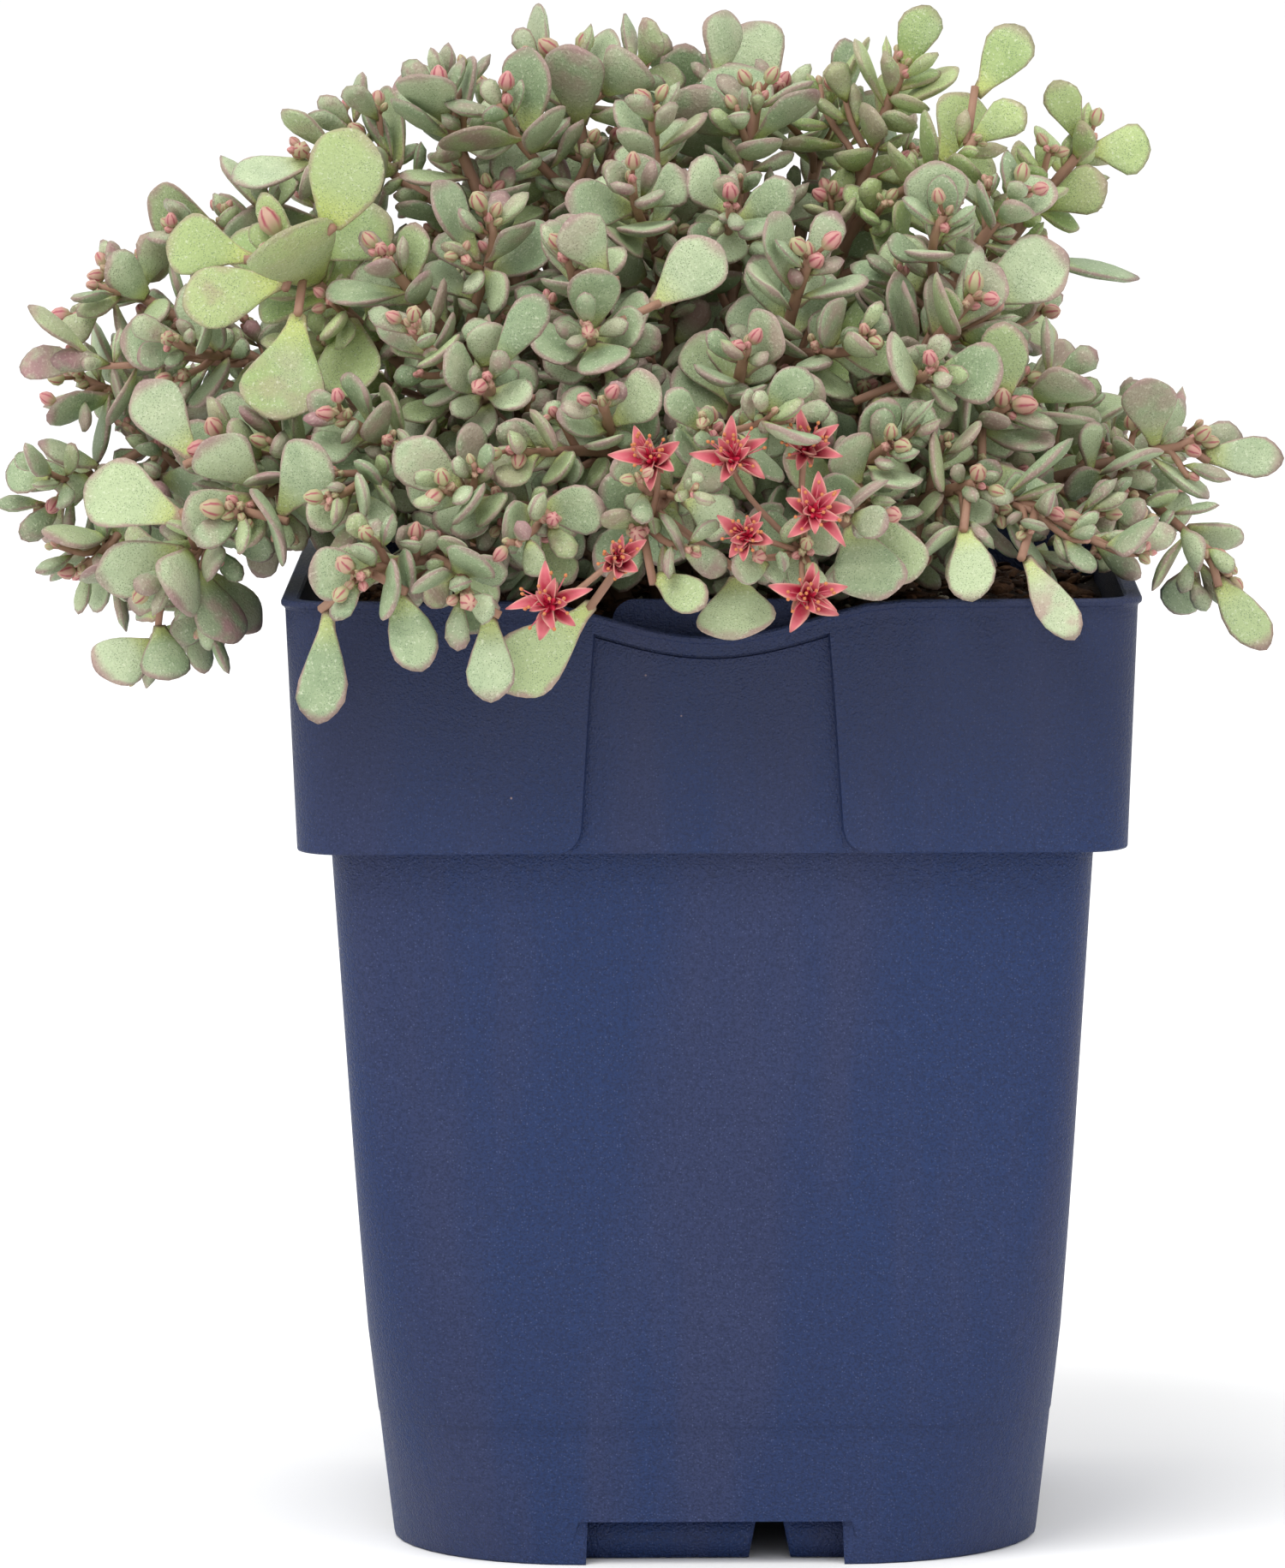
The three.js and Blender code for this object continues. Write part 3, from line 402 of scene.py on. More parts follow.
# %% Pot sizes
POT_HEIGHT = 138.4
RIM_HALF = 60.0
COLLAR_Z = 102.8
COLLAR_HALF = 58.1
BODY_HEIGHTS = [0, 20, 33, COLLAR_Z]
BODY_HALVES = [46.2, 47.9, 49.1, 53.4]
BODY_WALL = 1.4
COLLAR_WALL = 2.0
LIP_PROUD = 0.5
LEDGE_Z = 104.2
FLOOR_UNDER = 6.3
FLOOR_TOP = 7.8
RECESS = 1.0
RECESS_CORNER = 4.5
DIP_HALF = 25.0
DIP_DEPTH = 5.0
EDGE_BLEND = 0.14
CORNER_STEPS = 10
OUTER_STEPS = 7
INNER_STEPS = 20
OFF_SIDE = 99.0


def body_half(z):
    """Half the body's width at a height: straight lines between four levels."""
    return np.interp(z, BODY_HEIGHTS, BODY_HALVES)


def collar_half(z):
    """Half the collar's width at a height, widening evenly to just under the lip."""
    share = (np.asarray(z) - COLLAR_Z) / (POT_HEIGHT - COLLAR_Z)
    return COLLAR_HALF + share * (RIM_HALF - LIP_PROUD - COLLAR_HALF)


def corner_radius(z):
    """The corner's radius: small at the rim, growing fast towards the foot."""
    return 6.5 + 21 * np.clip(1 - np.asarray(z) / 60, 0, 1) ** 1.6


def panel_edge(z):
    """Half the width between a side's two feature edges: the panel's sides on the
    collar, rounded out at its lower corners, and the notch's sides at the foot."""
    z = np.asarray(z, float)
    panel = np.interp(z, [COLLAR_Z + RECESS_CORNER, POT_HEIGHT], [18.1, 16.1])
    low = np.clip((z - COLLAR_Z) / RECESS_CORNER, 0, 1)
    panel = panel + RECESS_CORNER * (1 - np.sqrt(low)) ** 2
    body = np.interp(z, [0, FLOOR_UNDER, 20, COLLAR_Z], [21, 19.2, 19.2, 22.6])
    return np.where(z >= COLLAR_Z, panel, body)


def smooth_step(value, low, high):
    """A smooth rise from 0 to 1 as the value goes from low to high."""
    share = np.clip((value - low) / (high - low), 0, 1)
    return share * share * (3 - 2 * share)


def square_rows(half, radius, edge):
    """Rows of points round a square with rounded corners, anticlockwise from above:
    along each side the columns crowd at its two feature edges, then turn the corner on
    an arc. Returns x and y, the distance along the side, the side's number, and whether
    a column lies between the edges."""
    flat = (half - radius)[:, None]
    edge = np.minimum(edge[:, None], flat - 2 * EDGE_BLEND)
    share = np.linspace(0, 1, OUTER_STEPS + 1)[None]
    left = -flat + (flat - edge - EDGE_BLEND) * share
    middle = (edge - EDGE_BLEND) * np.linspace(-1, 1, INNER_STEPS + 1)[None]
    line = np.concatenate([left, middle, -left[:, ::-1]], axis=1)
    angle = np.linspace(-np.pi / 2, 0, CORNER_STEPS + 1)[None, 1:-1]
    arc_x = flat + radius[:, None] * np.cos(angle)
    arc_y = -flat + radius[:, None] * np.sin(angle)
    x = np.concatenate([line, arc_x], axis=1)
    y = np.concatenate([np.broadcast_to(-half[:, None], line.shape), arc_y], axis=1)
    inside = np.zeros(x.shape[1], bool)
    inside[OUTER_STEPS + 1:OUTER_STEPS + 2 + INNER_STEPS] = True
    on_line = np.arange(x.shape[1]) < line.shape[1]
    turns = [(x, y), (-y, x), (-x, -y), (y, -x)]
    return {
        "x": np.concatenate([t[0] for t in turns], axis=1),
        "y": np.concatenate([t[1] for t in turns], axis=1),
        "along": np.tile(np.where(on_line, x, OFF_SIDE), 4),
        "side": np.repeat(np.arange(4), x.shape[1]),
        "inside": np.tile(inside, 4),
    }


# %% The pot's wall
PARTING_Z = 20.0
BAND_HEIGHT = 2.7
GROOVE = 0.3
SIDE_INWARD = np.array([[0, 1], [-1, 0], [0, -1], [1, 0]])

BODY_ROWS = (0.0, 0.3, 1.5, 3, 4.6, FLOOR_UNDER, 9, 13, 17, 19.8, 20.1, 23, 27, 33,
             40, 50, 60, 70, 80, 90, 98, 102.2, COLLAR_Z)
PANEL_ROWS = (103.15, 103.8, 104.8, 106, 107.3, 112, 118, 124, 129, 132.5, 135.05)
LIP_ROWS = ((POT_HEIGHT - BAND_HEIGHT, 59.38), (137.0, 59.45), (137.3, 59.6),
            (137.55, 59.92), (137.75, RIM_HALF), (138.15, RIM_HALF), (POT_HEIGHT, 59.75),
            (POT_HEIGHT, 57.9), (138.15, 57.55), (136, 57.4), (132, 57.25), (127, 57.05))
INNER_ROWS = (60, 33, 20, 13, FLOOR_TOP, 3, 0.1)

# Each row of the wall: its height, half its width, and how far a panel is set back.
wall = [(z, body_half(z) + (0.1 if z > PARTING_Z else 0) - (0.25 if z == 0 else 0), 0)
        for z in BODY_ROWS]
wall += [(COLLAR_Z, COLLAR_HALF - 1.6, 0), (COLLAR_Z, COLLAR_HALF - 0.35, 0.8),
         (102.9, collar_half(102.9) - 0.12, RECESS)]
wall += [(z, collar_half(z), RECESS) for z in PANEL_ROWS]
wall += [(z, collar_half(z), RECESS + GROOVE) for z in (135.2, 135.6)]
wall += [(z, half, 0) for z, half in LIP_ROWS]
wall += [(LEDGE_Z, COLLAR_HALF - COLLAR_WALL, 0), (LEDGE_Z, 51.9, 0)]
wall += [(z, body_half(z) - BODY_WALL, 0) for z in INNER_ROWS]
rows, halves, recess = np.array(wall).T
within = np.arange(len(wall)) > np.argmax(rows)
radii = corner_radius(rows) - np.where(within, 1.2, 0)
grid = square_rows(halves, radii, panel_edge(rows))
height = np.broadcast_to(rows[:, None], grid["x"].shape).copy()
inside = grid["inside"][None]
notch = FLOOR_UNDER + 0.02 * rows[:, None]
height = np.where(inside & (height < FLOOR_UNDER), notch, height)
bowl = np.clip(np.cos(np.pi * grid["along"] / (2 * DIP_HALF)), 0, 1) ** 1.5
front = (grid["side"] == 0)[None] & (np.abs(grid["along"]) < DIP_HALF)
height -= np.where(front, DIP_DEPTH * bowl * smooth_step(rows, 124, 136)[:, None], 0)
set_back = np.where(inside, recess[:, None], 0)
inward = SIDE_INWARD[grid["side"]]
wall_points = np.stack([
    grid["x"] + set_back * inward[None, :, 0],
    grid["y"] + set_back * inward[None, :, 1],
    height,
], axis=-1)
wall_rows, wall_columns = wall_points.shape[:2]
pot_wall = mesh_piece("pot_wall", wall_points.reshape(-1, 3),
                      ring_faces(wall_rows, wall_columns, wrap=True), [], crisp=24)
print("pot wall", wall_rows, "rows of", wall_columns, "points")

# %% [markdown]
# The tab, the floor and the foot ring
#
# Behind the dip stands an upright tab with fine ribs, which holds a label against the
# lip. The floor lies a few millimetres up inside the foot, with a drain hole in each
# quarter, and a low ring wall and a boss stand under it. The floor's surface is worked
# out from the holes: from each hole a line runs out in every direction until it leaves
# its quarter of the pot, and the plate is stretched along these lines.

# %% The tab, the floor and the foot ring
TAB_HALF = 13.8
TAB_BACK_Y = -53.7
TAB_THICK = 1.2
TAB_TOP = POT_HEIGHT - 0.2
TAB_CORNER = 3.0
RIB_SPACING = 5.2
DRAIN_AT = 25.0
DRAIN_RADIUS = 4.5
DRAIN_COLUMNS = 72
FLOOR_CORNER = 24.5
BORDER_HALVINGS = 24
GAP_FROM = 4.9
GAP_TO = 10.1


def tab_surface():
    """A flat bar: rows go up its height and columns round its section, with low ribs
    on the front. Near the top the bar narrows on an arc, which rounds its corners."""
    z = np.concatenate([[LEDGE_Z - 0.6], np.linspace(110, TAB_TOP - TAB_CORNER, 8),
                        TAB_TOP - TAB_CORNER * (1 - np.sin(np.linspace(0.2, 1.5, 7)))])
    above = np.clip(z - (TAB_TOP - TAB_CORNER), 0, TAB_CORNER)
    half = TAB_HALF - TAB_CORNER + np.sqrt(TAB_CORNER ** 2 - above ** 2)
    across = np.linspace(-1, 1, 60)
    rib = np.clip(np.cos(2 * np.pi * across * TAB_HALF / RIB_SPACING) - 0.8, 0, 1) * 1.6
    front_y = TAB_BACK_Y - TAB_THICK + 0.15 - rib * 0.5
    back = np.linspace(0.98, -0.98, 12)
    x = np.concatenate([across, back])[None] * half[:, None]
    y = np.broadcast_to(np.concatenate([front_y, np.full(12, TAB_BACK_Y)]), x.shape)
    return np.stack([x, y, np.broadcast_to(z[:, None], x.shape)], -1)


def floor_quarter(quarter):
    """One quarter of the floor round its drain hole: along each direction from the
    hole, the plate runs from the hole's edge out to the quarter's own border."""
    angle = round_angles(DRAIN_COLUMNS)
    ways = np.stack([np.cos(angle), np.sin(angle)], -1)
    low, high = np.full(DRAIN_COLUMNS, DRAIN_RADIUS), np.full(DRAIN_COLUMNS, RIM_HALF)
    half = body_half(FLOOR_TOP) - 0.7
    straight = half - FLOOR_CORNER
    for _ in range(BORDER_HALVINGS):
        middle = (low + high) / 2
        x, y = (DRAIN_AT + ways * middle[:, None]).T
        corner = np.hypot(np.maximum(x - straight, 0), np.maximum(y - straight, 0))
        within = (x > 0) & (y > 0) & (x < half) & (y < half) & (corner < FLOOR_CORNER)
        low, high = np.where(within, middle, low), np.where(within, high, middle)
    reaches = DRAIN_RADIUS + (low - DRAIN_RADIUS) * np.array([0, 0.02, 0.5, 1])[:, None]
    flat = DRAIN_AT + ways[None] * reaches[..., None]
    upper = np.concatenate([flat, np.full(flat.shape[:2] + (1,), FLOOR_TOP)], -1)
    lower = upper[::-1] - np.array([0, 0, FLOOR_TOP - FLOOR_UNDER])
    loop = np.concatenate([lower, upper])
    x, y = turned(loop[..., 0], loop[..., 1], quarter * np.pi / 2)
    return np.stack([x, y, loop[..., 2]], -1)


def foot_ring():
    """The low wall under the floor: one closed section carried round a square, cut away
    upwards where each side has its gap."""
    inset = np.array([5, 5, 5, 6.4, 6.4, 6.4])
    z = np.array([FLOOR_UNDER + 0.3, 3, 0.2, 0.2, 3, FLOOR_UNDER + 0.3])[::-1]
    half = body_half(z) - inset[::-1]
    ring = square_rows(half, np.full(6, 20.0), np.full(6, 12.0))
    gap = ring["inside"][None] & (ring["along"] > GAP_FROM) & (ring["along"] < GAP_TO)
    level = z[:, None]
    level = np.where(gap, np.maximum(level, FLOOR_UNDER + 0.02 * level), level)
    return np.stack([ring["x"], ring["y"], level], -1)


def foot_boss():
    """A short round post under the floor's middle, as rings of growing height."""
    angle = round_angles(32)
    radius = np.array([5.9, 6.5, 6.5])[:, None]
    z = np.array([0.1, 0.6, FLOOR_UNDER + 0.4])[:, None]
    x, y = radius * np.cos(angle), radius * np.sin(angle)
    return np.stack([x, y, np.broadcast_to(z, x.shape)], -1)


pot_tab = mesh_piece("pot_tab", *capped(tab_surface()), crisp=35)
foot = Heap()
for loop in [floor_quarter(quarter) for quarter in range(4)] + [foot_ring()]:
    foot.add(loop.reshape(1, -1, 3), ring_faces(*loop.shape[:2], wrap=True))
boss_points, boss_quads, boss_fans = capped(foot_boss())
foot.add(boss_points[None], boss_quads, boss_fans)
pot_foot = foot.piece("pot_foot")
print("pot foot", len(pot_foot.data.vertices), "points")

# %% [markdown]
# Moulded plastic
#
# The plastic is a deep dull blue with a fine grain from the mould. Painted highlights
# stand for light catching single grains as tiny glints, and faint upright streaks show
# how it flowed. The grain is a bump from two sizes of noise, and it darkens the colour in
# its hollows as painted shade; the glints are pale centres of small cells, and the
# streaks are a noise stretched upwards. The collar is darker with painted shade, which
# stands for the plant's shadow on it. A fine line runs round the body two centimetres
# up, where the two halves of the mould met.

# %% Moulded plastic
def plastic_finish():
    """Blue by streak and cloud, with painted shade in the hollows of the grain, and a
    painted glint or a grain of dust in some cells by their own chance. The collar is
    darker with painted shade from the plant above, and the parting line is darkest
    where the height is 20 mm."""
    plastic = Finish("moulded plastic", roughness=0.5, specular=0.25)
    mix, spread, noise, times, plus = plastic.steps()
    distance, by_chance = plastic.cells(2600)
    # Painted highlight: pale cell centres in some cells stand for light catching single
    # grains.
    painted_glint = spread(distance, 0.12, 0.36, 1, 0)
    painted_glint = times(painted_glint, spread(plastic.split(by_chance)[0], 0.35, 0.95))
    streak = noise(1.0, 3.0, stretch=(70, 70, 8))
    cloud = noise(30, 1.0)
    grain = plus(noise(3800, 1.0), noise(2300, 1.0))
    blue = mix(spread(streak, 0.42, 0.66), (31, 50, 92), (45, 54, 89))
    blue = mix(spread(cloud, 0.45, 0.75, 0, 0.4), blue, (38, 48, 84))
    # Painted shade: the colour darkens in the grain's hollows, where its bump is low.
    blue = mix(spread(grain, 0.75, 1.2, 0.6, 0), blue, (18, 30, 62))
    blue = mix(times(painted_glint, 0.34), blue, (98, 110, 150))
    distance, by_chance = plastic.cells(110)
    in_some = plastic.split(by_chance)[1]
    dust = spread(distance, 0.012, 0.022, 1, 0)
    dust = times(dust, spread(in_some, 0.3, 0.6, 0, 0.8))
    blue = mix(dust, blue, (176, 150, 146))
    height = plastic.node("ShaderNodeSeparateXYZ", {0: plastic.place}).outputs[2]
    off_line = plastic.combine("SUBTRACT", height, PARTING_Z * MM)
    off_line = plastic.combine("ABSOLUTE", off_line, 0)
    parting = spread(off_line, 0.00008, 0.0003, 1, 0)
    # Painted shade: the collar darkens upwards, standing in for the plant's shadow on it.
    blue = mix(spread(height, 0.09, 0.128, 0, 0.62), blue, (32, 37, 61))
    blue = mix(times(parting, 0.18), blue, (18, 26, 56))
    plastic.colour(blue)
    plastic.roughen(spread(grain, 0.7, 1.3, 0.42, 0.6))
    plastic.bump(grain, distance=0.0002)
    return plastic


plastic = plastic_finish()
for piece in (pot_wall, pot_tab, pot_foot):
    place_piece(piece, ["pot"], plastic)
print("plastic is on", len(plastic.material.node_tree.nodes), "nodes")

# %% [markdown]
# Soil
#
# Potting soil is a loose mix of brown fibre, chips of bark and pale grit. Its top is
# one surface that runs from the middle out to the pot's wall in rings, lifted by
# smooth random hills of several widths. The chips are separate small stones and
# splinters scattered on it, each a closed ball of few faces pulled out of shape.

# %% Soil surface
SOIL_RINGS = 46
OPEN_TOP = 200.0
chance = np.random.default_rng(7)
LATTICE_SIZE = 128
LATTICE = chance.random((LATTICE_SIZE, LATTICE_SIZE))


def hills(x, y, width, shift=0):
    """Smooth random heights from 0 to 1: chance values on a square net of the given
    width, joined by smooth steps between the net's corners."""
    u, v = x / width + 37.3 + shift, y / width + 51.7 + shift
    column, row = np.floor(u).astype(int), np.floor(v).astype(int)
    across, along = smooth_step(u - column, 0, 1), smooth_step(v - row, 0, 1)

    def corner(dx, dy):
        return LATTICE[(row + dy) % LATTICE_SIZE, (column + dx) % LATTICE_SIZE]

    near = corner(0, 0) * (1 - across) + corner(1, 0) * across
    far = corner(0, 1) * (1 - across) + corner(1, 1) * across
    return near * (1 - along) + far * along


def soil_height(x, y):
    """The soil's level: a low mound that falls to its edge, with hills on it."""
    out = np.maximum(np.abs(x), np.abs(y))
    mound = np.interp(out, [0, 18, 36, 50, 57.5], [134.6, 134.4, 133.6, 132.2, 130.6])
    rough = 1.6 * hills(x, y, 9) + 1.1 * hills(x, y, 4, 9) + 0.8 * hills(x, y, 1.7, 21)
    return mound + rough - 1.75


def soil_surface():
    """Rings from the middle of the soil out to the wall, then down the wall and in
    along the pot's step, as one closed grid."""
    shares = np.linspace(0.02, 1, SOIL_RINGS)
    top_half = 57.1 * shares
    down = np.array([128, 120, 104.6, 104.6, 60, 20, 8.3])
    down_half = np.array([56.8, 56.4, 55.9, 51.6, 49.0, 46.1, 44.9])
    half = np.concatenate([top_half, down_half])
    z = np.concatenate([np.full(SOIL_RINGS, OPEN_TOP), down])
    radius = np.minimum(half * 0.95, corner_radius(np.minimum(z, 100)) - 1.2)
    rings = square_rows(half, radius, np.minimum(half * 0.35, 18.0))
    x, y = rings["x"], rings["y"]
    level = np.where(z[:, None] == OPEN_TOP, soil_height(x, y), z[:, None])
    pocket = (np.abs(x) < TAB_HALF + 0.5) & (y < TAB_BACK_Y + 0.4) & (z[:, None] > 104)
    y = np.where(pocket, TAB_BACK_Y + 0.4, y)
    return np.stack([x, y, level], -1)


surface = soil_surface()[::-1]
soil_mesh = mesh_piece("soil_bed", *capped(surface))
print("soil grid", surface.shape[:2])

# %% Bark and grit
PEBBLE_COLUMNS = 7


def pebble_grid():
    """A ball of few faces: three rings of seven points between two poles."""
    angle = round_angles(PEBBLE_COLUMNS)
    rise = np.radians([-45, 0, 45])[:, None]
    x, y = np.cos(rise) * np.cos(angle), np.cos(rise) * np.sin(angle)
    ring = np.stack([x, y, np.broadcast_to(np.sin(rise), x.shape)], -1)
    points = np.concatenate([ring.reshape(-1, 3), [[0, 0, -1.0], [0, 0, 1.0]]])
    fans = end_fans(ring[..., 0].size, PEBBLE_COLUMNS)
    return points, ring_faces(*ring.shape[:2]), fans


def scattered(count, sizes, flatness, tint):
    """Pebbles on the soil: each is stretched along two axes, flattened, turned, pulled
    about by chance and set a little into the surface."""
    ball, quads, fans = pebble_grid()
    x, y = chance.uniform(-56, 56, (2, count))
    keep = (np.hypot(np.maximum(np.abs(x) - 50, 0), np.maximum(np.abs(y) - 50, 0)) < 5.5)
    keep &= ~((np.abs(x) < TAB_HALF + 2) & (y < TAB_BACK_Y + 3))
    x, y = x[keep], y[keep]
    kept = len(x)
    long = chance.uniform(*sizes, kept)
    wide = long * chance.uniform(0.35, 0.8, kept)
    thick = wide * chance.uniform(*flatness, kept)
    shape = ball[None] * (1 + 0.45 * (chance.random((kept, len(ball), 1)) - 0.5))
    shape = shape * np.stack([long, wide, thick], -1)[:, None] / 2
    spin, tilt = chance.uniform(0, 2 * np.pi, kept), chance.normal(0, 0.35, kept)
    tilted, z = turned(shape[..., 0], shape[..., 2], tilt[:, None])
    spun = np.stack([*turned(tilted, shape[..., 1], spin[:, None]), z], -1)
    seat = np.stack([x, y, soil_height(x, y) + thick * 0.2], -1)
    shades = stored(shape, tint, 0, chance.random((kept, 1)))
    return spun + seat[:, None], quads, fans, shades


bits = Heap()
# Chips of bark, crumbs and pale grit: how many, their sizes, flatness and tint.
for kind_of_bit in (
        (900, (1.6, 5.5), (0.25, 0.6), 0.0), (2600, (0.6, 1.7), (0.4, 0.9), 0.0),
        (420, (0.5, 1.3), (0.6, 1.0), 1.0)):
    bits.add(*scattered(*kind_of_bit))
soil_bits = bits.piece("soil_bits")
print("soil bits", len(bits.points), "heaps", bits.count, "points")


def soil_finishes():
    """Soil: dark to mid brown by clods, with lighter crumbs. Bark: brown by each chip's
    chance with dark fibres, and pale where the stored value says that it is grit."""
    soil = Finish("potting soil", roughness=0.95, specular=0.2)
    mix, spread, noise, _, plus = soil.steps()
    crumb, clod = noise(900, 5.0), noise(160, 4.0)
    brown = mix(spread(clod, 0.35, 0.7), (30, 20, 14), (62, 44, 32))
    soil.colour(mix(spread(crumb, 0.6, 0.75), brown, (96, 74, 56)))
    soil.bump(plus(crumb, clod), distance=0.0012)
    bits = Finish("bark and grit", roughness=0.9, specular=0.25)
    mix, spread, noise, _, _ = bits.steps()
    fibre = noise(1200, 4.0)
    bark = mix(bits.shade(2), (48, 31, 22), (112, 78, 54))
    bark = mix(spread(fibre, 0.4, 0.75, 0, 0.6), bark, (30, 20, 15))
    bits.colour(mix(bits.shade(0), bark, (196, 186, 168)))
    bits.bump(fibre, distance=0.0006)
    return soil, bits


for piece, finish in zip((soil_mesh, soil_bits), soil_finishes()):
    place_piece(piece, ["soil"], finish)

# %% [markdown]
# Stems
#
# About forty stems fork once or twice on their way out, and each fork ends in a head of
# buds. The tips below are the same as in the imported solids. A stem's course is one
# smooth curve: it leaves the soil upright and arrives at its tip pointing away from the
# crown's heart, and low tips are reached over the rim. The feet of the stems stand
# under their tips, drawn in towards the middle and pushed apart until none touch.

# %% Tips of the stems
# Every stem's tips: x, y, z and the size of its leaves there.
STEMS = [
    [(28, 0, 210, 1.0), (38, -11, 200, 0.9)],
    [(55, 4, 199, 0.9)],
    [(44, -20, 193, 0.9), (33, -29, 190, 0.9)],
    [(37, -36, 179, 1.0), (31, -50, 170, 0.9)],
    [(7, -4, 206, 1.0), (3, -34, 192, 0.9)],
    [(-8, -14, 205, 0.9), (-11, -28, 195, 1.0)],
    [(-20, 4, 210, 1.1), (-30, -7, 205, 1.0)],
    [(-39, 0, 206, 1.0), (-50, 6, 199, 1.0)],
    [(-60, -26, 185, 1.3)],
    [(-87, 4, 180, 0.9), (-77, -16, 172, 0.9)],
    [(-92, 8, 165, 0.9), (-94, 2, 149, 0.9), (-91, -8, 138, 0.9)],
    [(-46, -33, 185, 0.9), (-31, -32, 190, 1.0)],
    [(-20, -42, 186, 0.9), (-17, -52, 176, 0.9)],
    [(14, -42, 185, 1.0), (22, -48, 174, 0.9)],
    [(-42, -46, 176, 0.9), (-31, -55, 169, 0.9)],
    [(-15, -59, 166, 0.9), (-27, -63, 160, 0.9)],
    [(5, -51, 173, 0.9), (11, -57, 164, 0.8)],
    [(-52, -50, 164, 0.9), (-53, -61, 153, 0.9)],
    [(-69, -38, 159, 1.0), (-67, -50, 150, 1.1), (-78, -44, 140, 1.0)],
    [(-37, -68, 155, 0.9), (-22, -70, 150, 0.9)],
    [(-49, -72, 143, 1.0), (-34, -76, 140, 1.0)],
    [(0, -61, 162, 0.8), (-10, -70, 148, 0.9)],
    [(13, -70, 146, 0.8)],
    [(25, -58, 160, 0.9), (23, -66, 151, 1.0)],
    [(42, -38, 164, 1.1), (50, -30, 168, 0.9)],
    [(37, -52, 154, 0.9), (47, -50, 150, 1.0)],
    [(69, -18, 157, 0.9), (59, -27, 150, 0.9), (72, -24, 141, 0.8)],
    [(-6, 18, 208, 1.0), (6, 26, 203, 1.0)],
    [(18, 20, 203, 1.0), (30, 14, 197, 0.9)],
    [(-32, 20, 203, 1.0), (-23, 36, 192, 1.0)],
    [(-59, 18, 192, 1.0), (-71, 8, 187, 0.9)],
    [(39, 30, 181, 1.0), (48, 20, 173, 0.9)],
    [(-46, 44, 180, 1.0), (-62, 36, 173, 1.0)],
    [(-8, 46, 186, 1.0), (6, 53, 180, 0.9)],
    [(24, 46, 180, 1.0), (37, 48, 170, 1.0)],
    [(-24, 64, 164, 1.0), (-38, 60, 158, 0.9)],
    [(3, 65, 162, 1.0), (16, 67, 154, 0.9)],
    [(35, 63, 153, 1.0), (50, 54, 152, 0.9)],
    [(-57, 57, 150, 1.0), (-69, 46, 153, 0.9)],
    [(58, 38, 154, 1.0), (67, 24, 147, 0.9)],
    [(-86, 24, 162, 0.9), (-81, 34, 148, 0.9)],
]
PALE_STEMS = {1, 2, 9}

# The largest leaves: stem, foot, tip, width, and the way that the upper side faces.
BIG_LEAVES = [
    (9, (-53, -34, 189), (-49, -36, 202), 11.4),
    (9, (-60, -30, 180), (-74, -31, 179), 9.4),
    (9, (-58, -36, 177), (-60, -44, 163), 11.8),
    (9, (-66, -26, 184), (-76, -24, 187), 9.1),
    (9, (-57, -28, 184), (-46, -26, 190), 9.7),
    (1, (38, -6, 207), (45, -6, 215), 7.6),
    (1, (29, -2, 211), (31, -2, 218), 6.4),
    (1, (37, -12, 200), (44, -14, 205), 5.9),
    (2, (54, 2, 199), (50, 0, 207), 5.6),
    (2, (55, 4, 198), (63, 2, 198), 7.7),
    (2, (48, 0, 189), (56, -2, 193), 7.4),
    (3, (39, -24, 177), (50, -24, 184), 9.9),
    (3, (47, -10, 183), (60, 2, 179), 7.4, (0.2, -0.3, 1)),
    (4, (20, -46, 165), (31, -50, 161), 7.2),
    (25, (43, -38, 164), (42, -41, 175), 7.2),
    (25, (38, -40, 155), (48, -46, 149), 7.2),
    (27, (63, -20, 155), (62, -24, 166), 8.0),
    (27, (71, -18, 154), (81, -17, 155), 6.3),
    (27, (72, -26, 137), (78, -30, 129), 6.1),
    (26, (43, -58, 144), (49, -68, 134), 5.9),
    (26, (35, -58, 148), (37, -67, 139), 7.1),
    (19, (-74, -46, 150), (-87, -44, 154), 10.3),
    (19, (-74, -40, 156), (-80, -38, 167), 7.9),
    (19, (-59, -52, 149), (-54, -56, 160), 9.0),
    (21, (-54, -66, 138), (-54, -68, 123), 7.1),
    (21, (-29, -75, 138), (-30, -78, 127), 6.6),
    (22, (-17, -67, 138), (-28, -73, 128), 10.2),
    (21, (-42, -72, 141), (-40, -75, 131), 7.0),
    (22, (-8, -72, 142), (-1, -79, 140), 5.9),
    (22, (5, -64, 142), (4, -73, 134), 11.2),
    (24, (18, -62, 149), (22, -70, 140), 9.9),
    (13, (-7, -46, 179), (1, -48, 187), 9.1),
    (13, (-13, -44, 182), (-19, -46, 191), 7.7),
    (15, (-27, -54, 170), (-24, -56, 181), 5.9),
    (11, (-92, 4, 154), (-101, 6, 151), 5.4),
]

# Each open bloom: its stem, its centre, and the way that it faces.
BLOOMS = [
    (22, (-8, -72, 159), (-0.2, -0.9, 0.4)),
    (23, (3, -72, 159), (0.0, -0.9, 0.5)),
    (23, (5, -77, 149), (-0.1, -1.0, 0.1)),
    (23, (14, -77, 152), (0.2, -0.9, 0.3)),
    (23, (13, -79, 141), (0.1, -1.0, 0.0)),
    (22, (-22, -80, 140), (-0.2, -1.0, 0.1)),
    (22, (-13, -79, 146), (0.1, -1.0, 0.2)),
    (23, (13, -70, 160), (0.1, -0.9, 0.6)),
]

# %% Courses of the stems
ROOT_Z = 127.0
ROOT_SPACING = 6.0
CROWN_HEART = np.array([-8.0, 0, 124])
UP = np.array([0, 0, 1.0])
STEM_RADIUS = 1.15
BRANCH_RADIUS = 0.8
STEM_STEPS = 5
BRANCH_STEPS = 2
FORK_BACK = 0.34

# How far a course keeps its first and its last way, as shares of its span, and the
# height below which its last part is lifted over the rim.
LEAVING_SHARE = 0.38
ARRIVING_SHARE = 0.34
LIFT_BELOW_Z = 165


